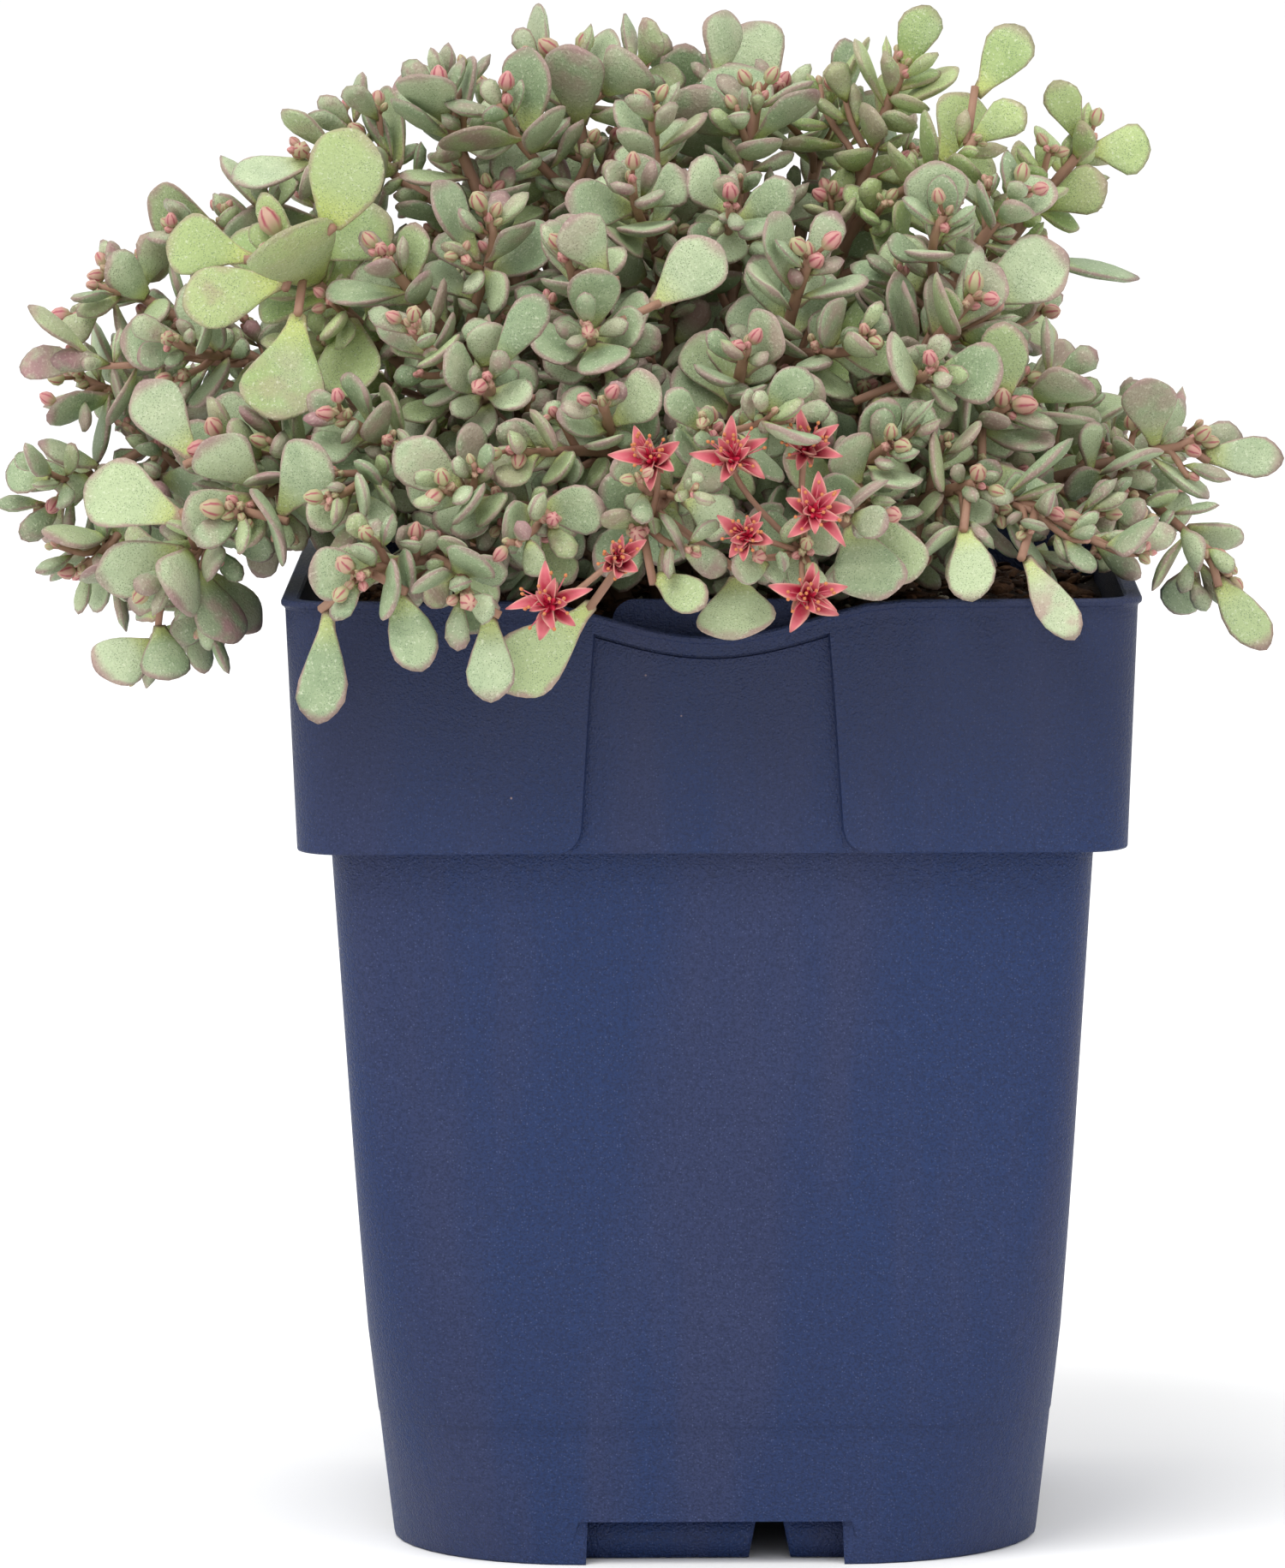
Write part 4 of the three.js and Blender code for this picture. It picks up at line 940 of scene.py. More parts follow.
def root_places():
    """Where each stem stands: under the mean of its tips, drawn in, then each pair of
    near neighbours is pushed apart, time after time."""
    means = [np.array(tips, float)[:, :2].mean(0) for tips in STEMS]
    roots = np.array([[m[0] * 0.37, m[1] * 0.43, ROOT_Z] for m in means])
    for _ in range(60):
        for first in range(len(roots)):
            for second in range(first + 1, len(roots)):
                apart = roots[first] - roots[second]
                distance = max(np.sqrt(apart @ apart), 0.01)
                if distance < ROOT_SPACING:
                    push = apart * ((ROOT_SPACING - distance) / distance / 2)
                    roots[first] += push
                    roots[second] -= push
    return roots


def bezier(ends, shares):
    """Points of a cubic curve: the four ends weighed by the powers of the share."""
    t = np.asarray(shares, float)[..., None]
    return ((1 - t) ** 3 * ends[0] + 3 * (1 - t) ** 2 * t * ends[1]
            + 3 * (1 - t) * t ** 2 * ends[2] + t ** 3 * ends[3])


def distances_along(points):
    """How far along the line through some points each of them lies."""
    steps_long = np.linalg.norm(np.diff(points, axis=0), axis=1)
    return np.concatenate([[0], np.cumsum(steps_long)])


class Course:
    """A stem or branch: a cubic curve cut into straight steps of equal length."""

    def __init__(self, start, leaving, end, arriving, steps, owner, radius, lift=0.3):
        span = np.sqrt((end - start) @ (end - start))
        second = end - arriving * span * ARRIVING_SHARE
        second = second + UP * max(0, LIFT_BELOW_Z - end[2]) * lift
        self.ends = [start, start + leaving * span * LEAVING_SHARE, second, end]
        shares = np.linspace(0, 1, 201)
        fine = bezier(self.ends, shares)
        run = distances_along(fine)
        self.shares = np.interp(np.linspace(0, run[-1], steps + 1), run, shares)
        self.points = bezier(self.ends, self.shares)
        self.lengths = distances_along(self.points)
        self.total = self.lengths[-1]
        self.owner = owner
        self.radius = radius

    def back(self, distance):
        """The place and the way at a distance back from the tip."""
        target = max(0.0, self.total - distance)
        step = int(np.searchsorted(self.lengths, target))
        step = min(max(1, step), len(self.lengths) - 1)
        start, end = self.points[step - 1], self.points[step]
        before, after = self.lengths[step - 1], self.lengths[step]
        share = (target - before) / (after - before)
        return start + (end - start) * share, unit(end - start)


def drawn_from(seed):
    """A stream of chance numbers from 0 to 1, the same for the same seed."""
    state = seed

    def draw():
        nonlocal state
        state = (state * 1664525 + 1013904223) % 4294967296
        return state / 4294967296
    return draw


def between(low, high, share):
    return low * (1 - share) + high * share


class Plant:
    """One stem with its branches, and what grows on it."""

    def __init__(self, index, root, owner):
        self.index = index
        self.tips = STEMS[index]
        tips = [np.array(tip[:3], float) for tip in self.tips]
        ways = [unit(tip - CROWN_HEART) for tip in tips]
        main = Course(root, UP, tips[0], ways[0], STEM_STEPS, owner, STEM_RADIUS)
        self.courses = [main]
        for order, (tip, way) in enumerate(zip(tips[1:], ways[1:])):
            fork, leaving = main.back(main.total * FORK_BACK)
            self.courses.append(Course(
                fork, leaving, tip, way, BRANCH_STEPS, owner + 1 + order, BRANCH_RADIUS))
        self.draw = drawn_from(1000 + index * 77)
        self.extra = drawn_from(90001 + index * 131)
        self.leaves, self.buds, self.twigs, self.shoots = [], [], [], []


plants = []
owners = 0
for index, root in enumerate(root_places()):
    plants.append(Plant(index, root, owners))
    owners += len(STEMS[index])
print("stems", len(plants), "courses", owners)


def along_stems(backs):
    """Each distance from the tips in turn, and there every course of every stem, with
    the size of the leaves at its tip."""
    for step, back in enumerate(backs):
        for plant in plants:
            for order, course in enumerate(plant.courses):
                yield step, back, plant, order, course, plant.tips[order][3]


# %% [markdown]
# Room for growth
#
# Leaves push each other aside and never grow through one another. Every grown thing
# therefore claims the small balls of space that it fills, and a new one is placed only
# where its own balls keep clear of all the others, of the pot and of the soil. The
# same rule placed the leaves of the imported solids, so those leaves come out in the
# same places here, and the rest of the foliage fills the gaps that are left.

# %% Room for growth
POT_INNER_CLEAR = 52.0
SOIL_CLEAR_Z = 135.6
GROW_GAP = 0.35
HEAD_OWNER = 1000
LEAF_OWNER = -1
BLOOM_OWNER = -2
EDGE_SLACK = 2.6
LARGEST_BALL = 2.6
grow_low = np.array(cad_box[0]) / MM - EDGE_SLACK
grow_high = np.array(cad_box[1]) / MM + EDGE_SLACK
taken = np.zeros((400000, 4))
taken_by = np.zeros(400000, int)
taken_count = 0


def claim(guards, owner):
    """Fill the balls given as rows of x, y, z and radius."""
    global taken_count
    guards = np.atleast_2d(guards)
    taken[taken_count:taken_count + len(guards)] = guards
    taken_by[taken_count:taken_count + len(guards)] = owner
    taken_count += len(guards)


def has_room(guards, own, gap=GROW_GAP):
    """Whether every ball keeps its gap from the pot, the soil and what others hold."""
    points, radius = guards[:, :3], guards[:, 3] + gap
    solid = guards[:, 3] + GROW_GAP
    across = np.abs(points[:, :2]).max(1)
    clear = (across - solid > RIM_HALF) | (points[:, 2] - solid > POT_HEIGHT)
    clear |= (across + solid < POT_INNER_CLEAR) & (points[:, 2] - solid > SOIL_CLEAR_Z)
    if not clear.all() or (points < grow_low).any() or (points > grow_high).any():
        return False
    middle = (points.min(0) + points.max(0)) / 2
    reach = (points.max(0) - points.min(0)) / 2 + radius.max() + LARGEST_BALL
    rows = taken[:taken_count]
    near = np.flatnonzero((np.abs(rows[:, 0] - middle[0]) < reach[0])
                          & (np.abs(rows[:, 1] - middle[1]) < reach[1]))
    near = near[np.abs(rows[near, 2] - middle[2]) < reach[2]]
    for owner in own:
        near = near[taken_by[near] != owner]
    if not len(near):
        return True
    others = rows[near]
    apart = points[:, None, :] - others[None, :, :3]
    return not ((apart ** 2).sum(-1) < (radius[:, None] + others[None, :, 3]) ** 2).any()


# %% [markdown]
# Leaves
#
# A leaf of this plant is fleshy: about two millimetres thick, narrow where it leaves
# the stem and round at its tip. Its surface starts as a flattened ball. Each point of
# the ball's disc is carried out along the leaf, a little faster at the foot than further
# on, and its width grows with that reach, which gives the spoon's outline: some leaves
# taper from near the tip, others are almost round. The disc's middle swells up a little
# and down more. The columns of the grid crowd at the round tip, where the outline
# curves most. The distance from the disc's middle is stored on the surface, so that
# the finish can draw the leaf's purple rim.

# %% Leaf formula
FOOT_POWER = 0.75
FOOT_NARROWING = 0.8
WIDEST_SHARE = 0.88
LEAF_THICK = 1.7
BRACT_THICK = 1.5
TIP_CROWDING = 0.35
REACH_POWER = 0.8
SPOON_POWER = 0.85
ROUND_POWER = 0.3
NECK_LENGTH = 0.14
RIM_WAVE = 0.045
TIP_POINT = 0.05
UPPER_SWELL = 0.34
BRACT_SWELL = 0.24
LOWER_SWELL = 0.62
TURN = 6.2832


class Blade:
    """A leaf (kind 0) or bract (kind 1): where it starts, its ways, and its sizes in
    millimetres. How it bends, bows and is tinted is set when it has found room."""

    def __init__(self, base, way, face, length, width, thick, kind=0.0):
        self.base = base
        self.way = unit(way)
        self.face = unit(face - self.way * (face @ self.way))
        self.sideways = np.cross(self.face, self.way)
        self.length, self.width, self.thick = length, width, thick
        self.kind, self.tint, self.roundness = kind, 0.5, 0.5
        self.bend = self.bow = 0.0


def disc_rings(rings, columns):
    """Points of a disc ring by ring as along, across and side: the upper side from
    the middle out, the rim, and the lower side back in to the middle."""
    angle = round_angles(columns)
    angle = angle - TIP_CROWDING * np.sin(angle)
    sizes, sides = np.array(rings, float).T[..., None]
    along = np.concatenate([(sizes * np.cos(angle)).ravel(), [0, 0]])
    across = np.concatenate([(sizes * np.sin(angle)).ravel(), [0, 0]])
    side = np.concatenate([np.broadcast_to(sides, (len(rings), columns)).ravel(), [1, -1]])
    faces = ring_faces(len(rings), columns)[:, ::-1]
    return along, across, side, faces, end_fans(len(rings) * columns, columns, True)


BROAD_DISC = disc_rings([
    (0.35, 1), (0.66, 1), (0.87, 1), (0.97, 1), (1, 0),
    (0.95, -1), (0.75, -1), (0.4, -1)], 26)
LEAF_DISC = disc_rings([(0.5, 1), (0.86, 1), (1, 0), (0.88, -1), (0.5, -1)], 15)
BRACT_DISC = disc_rings([(0.62, 1), (1, 0), (0.66, -1)], 10)


def blade_surface(blades, disc):
    """All blades of a list as one array. Reach along the blade is the disc's share of
    the way to the power 0.8; the half width there is the disc's across times that share
    to a power between 0.3, nearly round, and 0.85, a spoon, over its own largest value,
    with three shallow waves round the rim and a blunt neck that fades out; the height
    is a flat dome above the rim and a deep one below, cupped with the across squared
    and bent with the reach squared, and the middle line bows to one side likewise."""
    along, across, side, quads, fans = disc
    size = np.clip(np.hypot(along, across), 0, 1)
    values = ("length", "width", "thick", "bend", "bow", "roundness", "tint", "kind")
    length, width, thick, bend, bow, roundness, tint, bract = (
        np.array([getattr(blade, name) for blade in blades])[:, None] for name in values)
    base, way, sideways, face = (
        np.stack([getattr(blade, name) for blade in blades])[:, None]
        for name in ("base", "way", "sideways", "face"))
    share = np.clip((along + 1) / 2, 0, 1)
    reach = share ** REACH_POWER
    cup_chance, wave_chance, purple_chance = (
        tint * factor % 1 for factor in (7.31, 13.7, 29.9))
    cup = between(0.02, 0.2, cup_chance ** 1.5)
    turn = np.arctan2(across, along)
    wave = 1 + RIM_WAVE * size ** 2 * np.sin(3 * turn + wave_chance * TURN)
    point = TIP_POINT * np.clip(along, 0, 1) ** 14
    out_to = length * (reach + point)
    narrowing = between(SPOON_POWER, ROUND_POWER, roundness)
    power = narrowing + 0.5
    widest = power / (power + 0.5)
    fullest = 2 * widest ** power * np.sqrt(1 - widest)
    neck = (0.35 + 0.08 * width) * np.exp(-share / NECK_LENGTH)
    neck = neck / (2 * np.sqrt(share + 0.003))
    half = wave * share ** narrowing / fullest * width / 2 + neck
    aside = across * half + bow * length * reach ** 2
    upper = (UPPER_SWELL + BRACT_SWELL * bract) * np.sqrt(1 - size ** 3)
    dome = np.where(side > 0, upper, -LOWER_SWELL * np.sqrt(1 - size ** 2.6))
    plump = 0.55 + 0.45 * np.clip(reach / 0.5, 0, 1)
    rise = thick * (dome * plump - 0.3) + bend * length * reach ** 2
    rise = rise + cup * width * across ** 2 * share
    points = (base + out_to[..., None] * way + aside[..., None] * sideways
              + rise[..., None] * face)
    dark_leaf = 0.75 * np.clip((purple_chance - 0.72) / 0.28, 0, 1)
    purple = np.where(bract > 0.5, 0.1 + 0.85 * purple_chance ** 1.3, dark_leaf)
    purple = np.clip(purple + 0.3 * (side < 0) * wave_chance, 0, 1)
    return points, quads, fans, stored(points, size, reach, tint, purple)


def disc_points(blade, along, across, below):
    """Points of the plain blade, whose keel lies at its full thickness below."""
    reach = np.clip((along + 1) / 2, 0, 1) ** FOOT_POWER
    aside = across * reach ** FOOT_NARROWING / WIDEST_SHARE * blade.width / 2
    return (blade.base + np.outer(blade.length * reach, blade.way)
            + np.outer(aside, blade.sideways) - np.outer(below * blade.thick, blade.face))


def guard_pattern(wide):
    """Where a blade's claimed balls lie on its disc: the middle and one or two rings,
    without the narrow foot."""
    pattern = [(0.0, 0.0)]
    for size in ([0.5, 1] if wide else [1]):
        count = round((14 if wide else 8) * size)
        angle = (np.arange(count) + 0.5) / count * 2 * np.pi
        ring = np.stack([size * np.cos(angle), size * np.sin(angle)], -1)
        pattern += [tuple(p) for p in ring if p[0] > -0.72]
    return np.array(pattern)


GUARD_PATTERNS = {True: guard_pattern(True), False: guard_pattern(False)}


def blade_guards(blade):
    """The balls that a blade claims, half its thickness in radius."""
    along, across = GUARD_PATTERNS[blade.width > 5].T
    below = 0.5 * (1 - along ** 2 - across ** 2)
    points = disc_points(blade, along, across, below)
    return np.column_stack([points, np.full(len(points), blade.thick / 2)])


def leaning(axis, lean, turn):
    """A way at an angle from an axis, turned round the axis by a turn."""
    side = np.array([1.0, 0, 0]) if abs(axis[2]) > 0.9 else UP
    first = unit(np.cross(side, axis))
    second = np.cross(axis, first)
    out = np.cos(turn) * first + np.sin(turn) * second
    return np.cos(lean) * axis + np.sin(lean) * out


def turned_about(vector, axis, angle):
    """A vector turned round an axis: its part along the axis stays as it is."""
    along = axis * (axis @ vector)
    across = vector - along
    return along + np.cos(angle) * across + np.sin(angle) * np.cross(axis, across)


# %% [markdown]
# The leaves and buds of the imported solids
#
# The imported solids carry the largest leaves, the blooms, a few buds at every tip and a
# pair or two of leaves behind it. They are worked out here again by the same rules and
# from the same streams of chance numbers, so each keeps its place and its size.

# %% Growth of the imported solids
BUD_SWELL = 0.66
BUD_SINK = 0.6
BRACT_SINK = 1.8
LEAF_TRIES = 6
STALK_FROM = 4.5
STALK_RADIUS = 0.65
STALK_OVERLAP = 1.8
CROWDED_ABOVE_Z = 195
PETALS = 5
PETAL_LEAN = 1.2
HEART_RADIUS = 1.3
BLOOM_STALK_SPACE = 0.55
BLOOM_STALK_RADIUS = 0.45


def bud_guard(bud):
    base, way, length, radius = bud[:4]
    return np.append(base + way * length * BUD_SWELL, radius)[None]


def grow_bud(plant, course, base, way, length, radius, own, gap=GROW_GAP):
    """One bud on its stalk, where there is room for it."""
    bud = (base, way, length, radius, plant.extra())
    if not has_room(bud_guard(bud), own, gap):
        return False
    claim(bud_guard(bud), course.owner + HEAD_OWNER)
    plant.buds.append(bud)
    return True


def grow_blade(plant, blade, own, owner, gap=GROW_GAP):
    """One leaf or bract, where there is room for it, with a bend, a bow, a tint and a
    roundness by chance."""
    guards = blade_guards(blade)
    if not has_room(guards, own, gap):
        return False
    claim(guards, owner)
    blade.bend = between(-0.08, 0.17, plant.extra())
    blade.bow = between(-0.09, 0.09, plant.extra())
    blade.tint = plant.extra()
    blade.roundness = plant.extra()
    plant.leaves.append(blade)
    return True


def grow_head(plant, course, size, buds, bracts):
    """The head at a tip: buds on short stalks with a bract or two beside them."""
    draw = plant.draw
    bud_foot, way = course.back(BUD_SINK)
    bract_foot = course.back(BRACT_SINK)[0]
    own = (course.owner, course.owner + HEAD_OWNER)
    phase = draw() * 2 * np.pi
    for index in range(buds):
        turn = phase + index / buds * 2 * np.pi
        lean = between(0.35, 0.75, draw())
        length = between(4.2, 6.2, draw()) * size
        radius = between(1.25, 1.6, draw()) * size
        grow_bud(plant, course, bud_foot, leaning(way, lean, turn), length, radius, own)
    for index in range(bracts):
        turn = phase + (index + 0.5) / bracts * 2 * np.pi
        lean = between(0.45, 0.9, draw())
        length = between(6.6, 8.8, draw()) * size
        width = length * between(0.42, 0.55, draw())
        ahead = leaning(way, lean, turn)
        blade = Blade(bract_foot, ahead, way, length, width, BRACT_THICK, kind=1.0)
        grow_blade(plant, blade, own, course.owner + HEAD_OWNER)


def grow_pair(plant, course, size, back, turn, lean):
    """A pair of leaves across a stem. A leaf without room is turned and shortened
    a little, and is left out after the last try."""
    draw = plant.draw
    point, way = course.back(back)
    for half in range(2):
        for attempt in range(LEAF_TRIES):
            swing = (draw() - 0.5) * (0.5 + attempt * 0.45)
            tilt = lean + (draw() - 0.5) * (0.3 + attempt * 0.2)
            twist = (draw() - 0.5) * 0.8
            length = between(9.5, 13.5, draw()) * size * (1 - attempt * 0.05)
            width = length * between(0.62, 0.84, draw())
            ahead = leaning(way, tilt, turn + half * np.pi + swing)
            face = turned_about(way, ahead, twist)
            blade = Blade(point, ahead, face, length, width, LEAF_THICK)
            if grow_blade(plant, blade, (course.owner,), LEAF_OWNER):
                break


def nearest_place(plant, target):
    """The place on a plant's courses that is nearest to a point."""
    best = None
    for course in plant.courses:
        for back in np.arange(BRACT_SINK, course.total, 1.0):
            point, _ = course.back(back)
            distance = np.sqrt((point - target) @ (point - target))
            if best is None or distance < best[1]:
                best = (point, distance, course)
    return best


def grow_big_leaf(stem, foot, tip, width, face=(0, -1, 0.35)):
    """One of the largest leaves; a short stalk joins a foot that stands off its stem."""
    plant = plants[stem - 1]
    foot, tip = np.array(foot, float), np.array(tip, float)
    point, distance, course = nearest_place(plant, foot)
    base = point
    if distance > STALK_FROM:
        base = point + (foot - point) * (1 - STALK_OVERLAP / distance)
        stalk = np.stack([point, point + (foot - point) * 0.5, foot])
        plant.twigs.append((stalk, STALK_RADIUS, 0.9))
        for share in np.linspace(0, 1, 5):
            claim(np.append(point + (foot - point) * share, STALK_RADIUS), course.owner)
    way = tip - base
    blade = Blade(base, way, np.array(face, float), np.sqrt(way @ way), width, LEAF_THICK)
    grow_blade(plant, blade, (course.owner,), LEAF_OWNER)


def grow_bloom(stem, at, facing):
    """The space of an open bloom, and the stalk that carries it."""
    plant = plants[stem - 1]
    heart, facing = np.array(at, float), unit(np.array(facing, float))
    claim(np.append(heart, HEART_RADIUS), BLOOM_OWNER)
    for petal in range(PETALS):
        way = leaning(facing, PETAL_LEAN, petal / PETALS * 2 * np.pi + at[0])
        petal_space = Blade(heart, way, facing, length=5.6, width=3.0, thick=1.1)
        claim(blade_guards(petal_space), BLOOM_OWNER)
    seat = heart - facing * 1.5
    start, distance, course = nearest_place(plant, seat)
    behind = seat - facing * distance * 0.5
    share = np.linspace(0, 1, 7)[:, None]
    line = (1 - share) ** 2 * start + 2 * share * (1 - share) * behind + share ** 2 * seat
    claim(np.column_stack([line, np.full(7, BLOOM_STALK_SPACE)]), course.owner)
    plant.twigs.append((line, BLOOM_STALK_RADIUS, 1.0))


for plant in plants:
    for course in plant.courses:
        for back in np.arange(0, course.total, 2.5):
            claim(np.append(course.back(back)[0], course.radius), course.owner)
for entry in BIG_LEAVES:
    grow_big_leaf(*entry)
for entry in BLOOMS:
    grow_bloom(*entry)
for _, _, plant, order, course, size in along_stems([0]):
    grow_head(plant, course, size, buds=2 if order == 0 else 1, bracts=1)
for plant in plants:
    crowded = sum(leaf[0] == plant.index + 1 for leaf in BIG_LEAVES) > 2
    crowded = crowded or plant.tips[0][2] > CROWDED_ABOVE_Z
    for order, course in enumerate(plant.courses):
        backs = [6.5, 15] if order == 0 and not crowded else [6.5]
        phase = plant.draw() * np.pi
        for step, back in enumerate(backs):
            turn = phase + step * np.pi / 2
            size = plant.tips[order][3]
            grow_pair(plant, course, size, back, turn, lean=0.78 + step * 0.3)
solid_leaves = sum(len(plant.leaves) for plant in plants)
solid_buds = sum(len(plant.buds) for plant in plants)
print("as in the solids:", solid_leaves, "leaves and bracts,", solid_buds, "buds")

# %% [markdown]
# The rest of the foliage
#
# The real plant is far denser than its plain solids: each head is a spray of a dozen
# buds among short bracts, small side shoots stand between the heads, and leaves follow
# each other down every stem until it is too dark for them. These are grown by the same
# rule of room, first at the tips, where there is light, and then further and further
# back, each stem in its turn, so that no stem takes its neighbours' space.

# %% Sprays, shoots and lower leaves
CLOSE_GAP = 0.05
BUD_GAP = -0.25
GOLDEN_TURN = 2.39996
ACROSS = 1.57
SHOOT_RADIUS = 0.55
SHOOT_STEPS = 3

# How far behind the tips the side shoots and the later leaves stand.
SHOOT_BACKS = (8, 11, 14, 18, 22, 27, 32, 38, 44)
LOWER_BACKS = (20, 17, 24, 28, 32, 36, 41, 46, 52, 58)
FILLING_BACKS = (7.5, 10.5, 13.5, 16, 19, 22, 25.5, 30, 34, 38.5, 43.5, 49, 55)

# Where the crown's edge has a shoot of its own: x, y, z and the size of its leaves.
EDGE_TIPS = [
    (-26, 4, 212, 1.0), (-35, 6, 209, 1.0), (-41, 12, 207, 1.0), (-48, 4, 204, 1.0),
    (-53, 10, 203, 1.0), (-59, 0, 198, 1.1), (-65, 6, 194, 1.0), (-71, 4, 190, 1.0),
    (-78, 0, 187, 1.0), (-84, 8, 182, 1.0), (-88, -4, 179, 1.0), (-92, 4, 174, 1.0),
    (-92, -8, 169, 1.0), (-95, 2, 161, 1.0), (-97, -6, 153, 1.0), (-98, 2, 146, 1.0),
    (-94, -10, 142, 1.0), (-91, 6, 137, 1.0), (-85, -14, 136, 1.0), (-77, -30, 131, 0.9),
    (-72, -40, 132, 0.9), (-80, -30, 143, 1.0), (-70, -44, 143, 1.0), (43, -20, 166, 1.0),
    (53, -12, 164, 1.0), (61, -16, 159, 1.0), (69, -20, 152, 1.0), (69, -10, 158, 1.0),
    (58, -30, 148, 1.0), (69, -22, 136, 0.9), (74, -24, 138, 0.9), (38, -46, 144, 1.0),
    (47, -44, 142, 1.0), (55, -36, 142, 1.0), (30, -52, 145, 1.0), (-16, 8, 212, 1.0),
    (-8, 4, 212, 1.0), (0, 6, 209, 1.0), (9, 10, 207, 1.0), (16, 4, 207, 1.0),
    (21, 12, 205, 1.0), (27, 0, 212, 0.9), (52, -53, 146, 0.9), (44, -55, 147, 0.9),
    (36, -57, 146, 0.9), (59, -47, 145, 0.9), (25, -57, 147, 0.9), (-24, -57, 147, 0.9),
    (-38, -57, 147, 0.9), (-50, -54, 147, 0.9), (-60, -44, 146, 0.9), (-82, -36, 126, 0.8),
    (-63, -30, 146, 1.0), (17, -54, 148, 0.9), (32, -50, 148, 0.9), (41, -50, 150, 1.0),
    (49, -48, 149, 0.9), (56, -42, 149, 0.9), (61, -34, 147, 0.9), (61, -52, 144, 0.8),
    (-2, -74, 147, 0.9), (7, -74, 146, 0.9), (-10, -75, 157, 0.8), (-2, -77, 156, 0.7),
    (18, -72, 152, 0.8), (9, -72, 166, 0.8), (-1, -70, 165, 0.8), (-28, -74, 148, 0.9),
    (20, -64, 144, 1.0), (-11, -72, 150, 0.8), (-46, 57, 150, 1.0), (-30, 62, 151, 1.0),
    (-14, 66, 153, 1.0), (10, 66, 151, 1.0), (27, 64, 148, 1.0), (44, 58, 147, 1.0),
    (-6, 60, 145, 1.0), (57, 47, 147, 1.0), (-66, 42, 149, 1.0), (-57, 49, 161, 1.0),
    (0, 58, 170, 1.0), (30, 54, 167, 1.0), (-28, 53, 175, 1.0), (62, 28, 158, 1.0),
]


def grow_spray(plant, course, size, buds, bracts):
    """More buds and bracts at a tip, each turned on from the last by the golden angle
    and placed where it clears all the others."""
    draw = plant.extra
    phase = draw() * TURN
    own = (course.owner,)
    for index in range(bracts):
        foot, way = course.back(BRACT_SINK + draw() * 4.5)
        turn = phase + (index + 0.5) * GOLDEN_TURN
        for attempt in range(4):
            lean = between(0.2, 1.05, draw())
            length = between(6.0, 10.4, draw()) * size * (1 - attempt * 0.13)
            width = length * between(0.42, 0.72, draw())
            ahead = leaning(way, lean, turn + draw() - 0.5)
            face = turned_about(way, ahead, (draw() - 0.5) * 1.2)
            thick = between(1.2, 1.8, draw())
            blade = Blade(foot, ahead, face, length, width, thick, kind=1.0)
            if grow_blade(plant, blade, own, course.owner + HEAD_OWNER, CLOSE_GAP):
                break
    for index in range(buds):
        foot, way = course.back(BUD_SINK + draw() * 1.8)
        turn = phase + index * GOLDEN_TURN
        for _ in range(4):
            lean = between(0.0, 1.05, draw())
            radius = between(0.7, 1.5, draw() ** 1.4) * size
            length = between(0.3, 1.4, draw()) * size + 2.3 * radius
            bud_way = leaning(way, lean, turn + draw())
            if grow_bud(plant, course, foot, bud_way, length, radius, own, BUD_GAP):
                break


def grow_leaves(plant, course, size, back, turn, lean, shortest=0.58):
    """Another pair of leaves across a stem, of any size that fits: each try is a
    little shorter, down to the shortest share."""
    draw = plant.extra
    point, way = course.back(back)
    for half in range(2):
        for attempt in range(8):
            swing = (draw() - 0.5) * (0.6 + attempt * 0.4)
            tilt = lean + (draw() - 0.5) * (0.4 + attempt * 0.18)
            shorter = 1 - (1 - shortest) * attempt / 7
            length = between(8.8, 13.8, draw()) * size * shorter
            width = length * between(0.56, 0.88, draw())
            ahead = leaning(way, tilt, turn + half * np.pi + swing)
            face = turned_about(way, ahead, (draw() - 0.5) * 1.0)
            blade = Blade(point, ahead, face, length, width, between(1.5, 2.0, draw()))
            if grow_blade(plant, blade, (course.owner,), LEAF_OWNER, CLOSE_GAP):
                break


def claim_shoot(plant, shoot):
    """Give a plant its new shoot, and fill the space along it."""
    global owners
    owners += 1
    for back in np.arange(0, shoot.total, 2.0):
        claim(np.append(shoot.back(back)[0], shoot.radius), shoot.owner)
    plant.shoots.append(shoot)


def grow_shoot(plant, parent, back, length, turn):
    """A side shoot: a short branch with its own spray and a few leaves. It stays
    nearer to the crown's heart than the tip of its parent."""
    draw = plant.extra
    start, way = parent.back(back)
    limit = np.linalg.norm(parent.points[-1] - CROWN_HEART) + 0.5
    for attempt in range(6):
        lean = between(0.55, 1.15, draw())
        ahead = leaning(way, lean, turn + (draw() - 0.5) * (0.8 + attempt * 0.6))
        reach = length * (1 - attempt * 0.07)
        tip = start + ahead * reach * 0.75 + unit(start - CROWN_HEART) * reach * 0.3
        if np.linalg.norm(tip - CROWN_HEART) > limit:
            continue
        shoot = Course(start, ahead, tip, unit(ahead + way), SHOOT_STEPS, owners,
                       SHOOT_RADIUS, lift=0)
        spots = np.array([shoot.back(b)[0] for b in np.linspace(0, shoot.total * 0.65, 5)])
        guards = np.column_stack([spots, np.full(5, 1.1)])
        if has_room(guards, (parent.owner,), CLOSE_GAP):
            claim_shoot(plant, shoot)
            return shoot
    return None


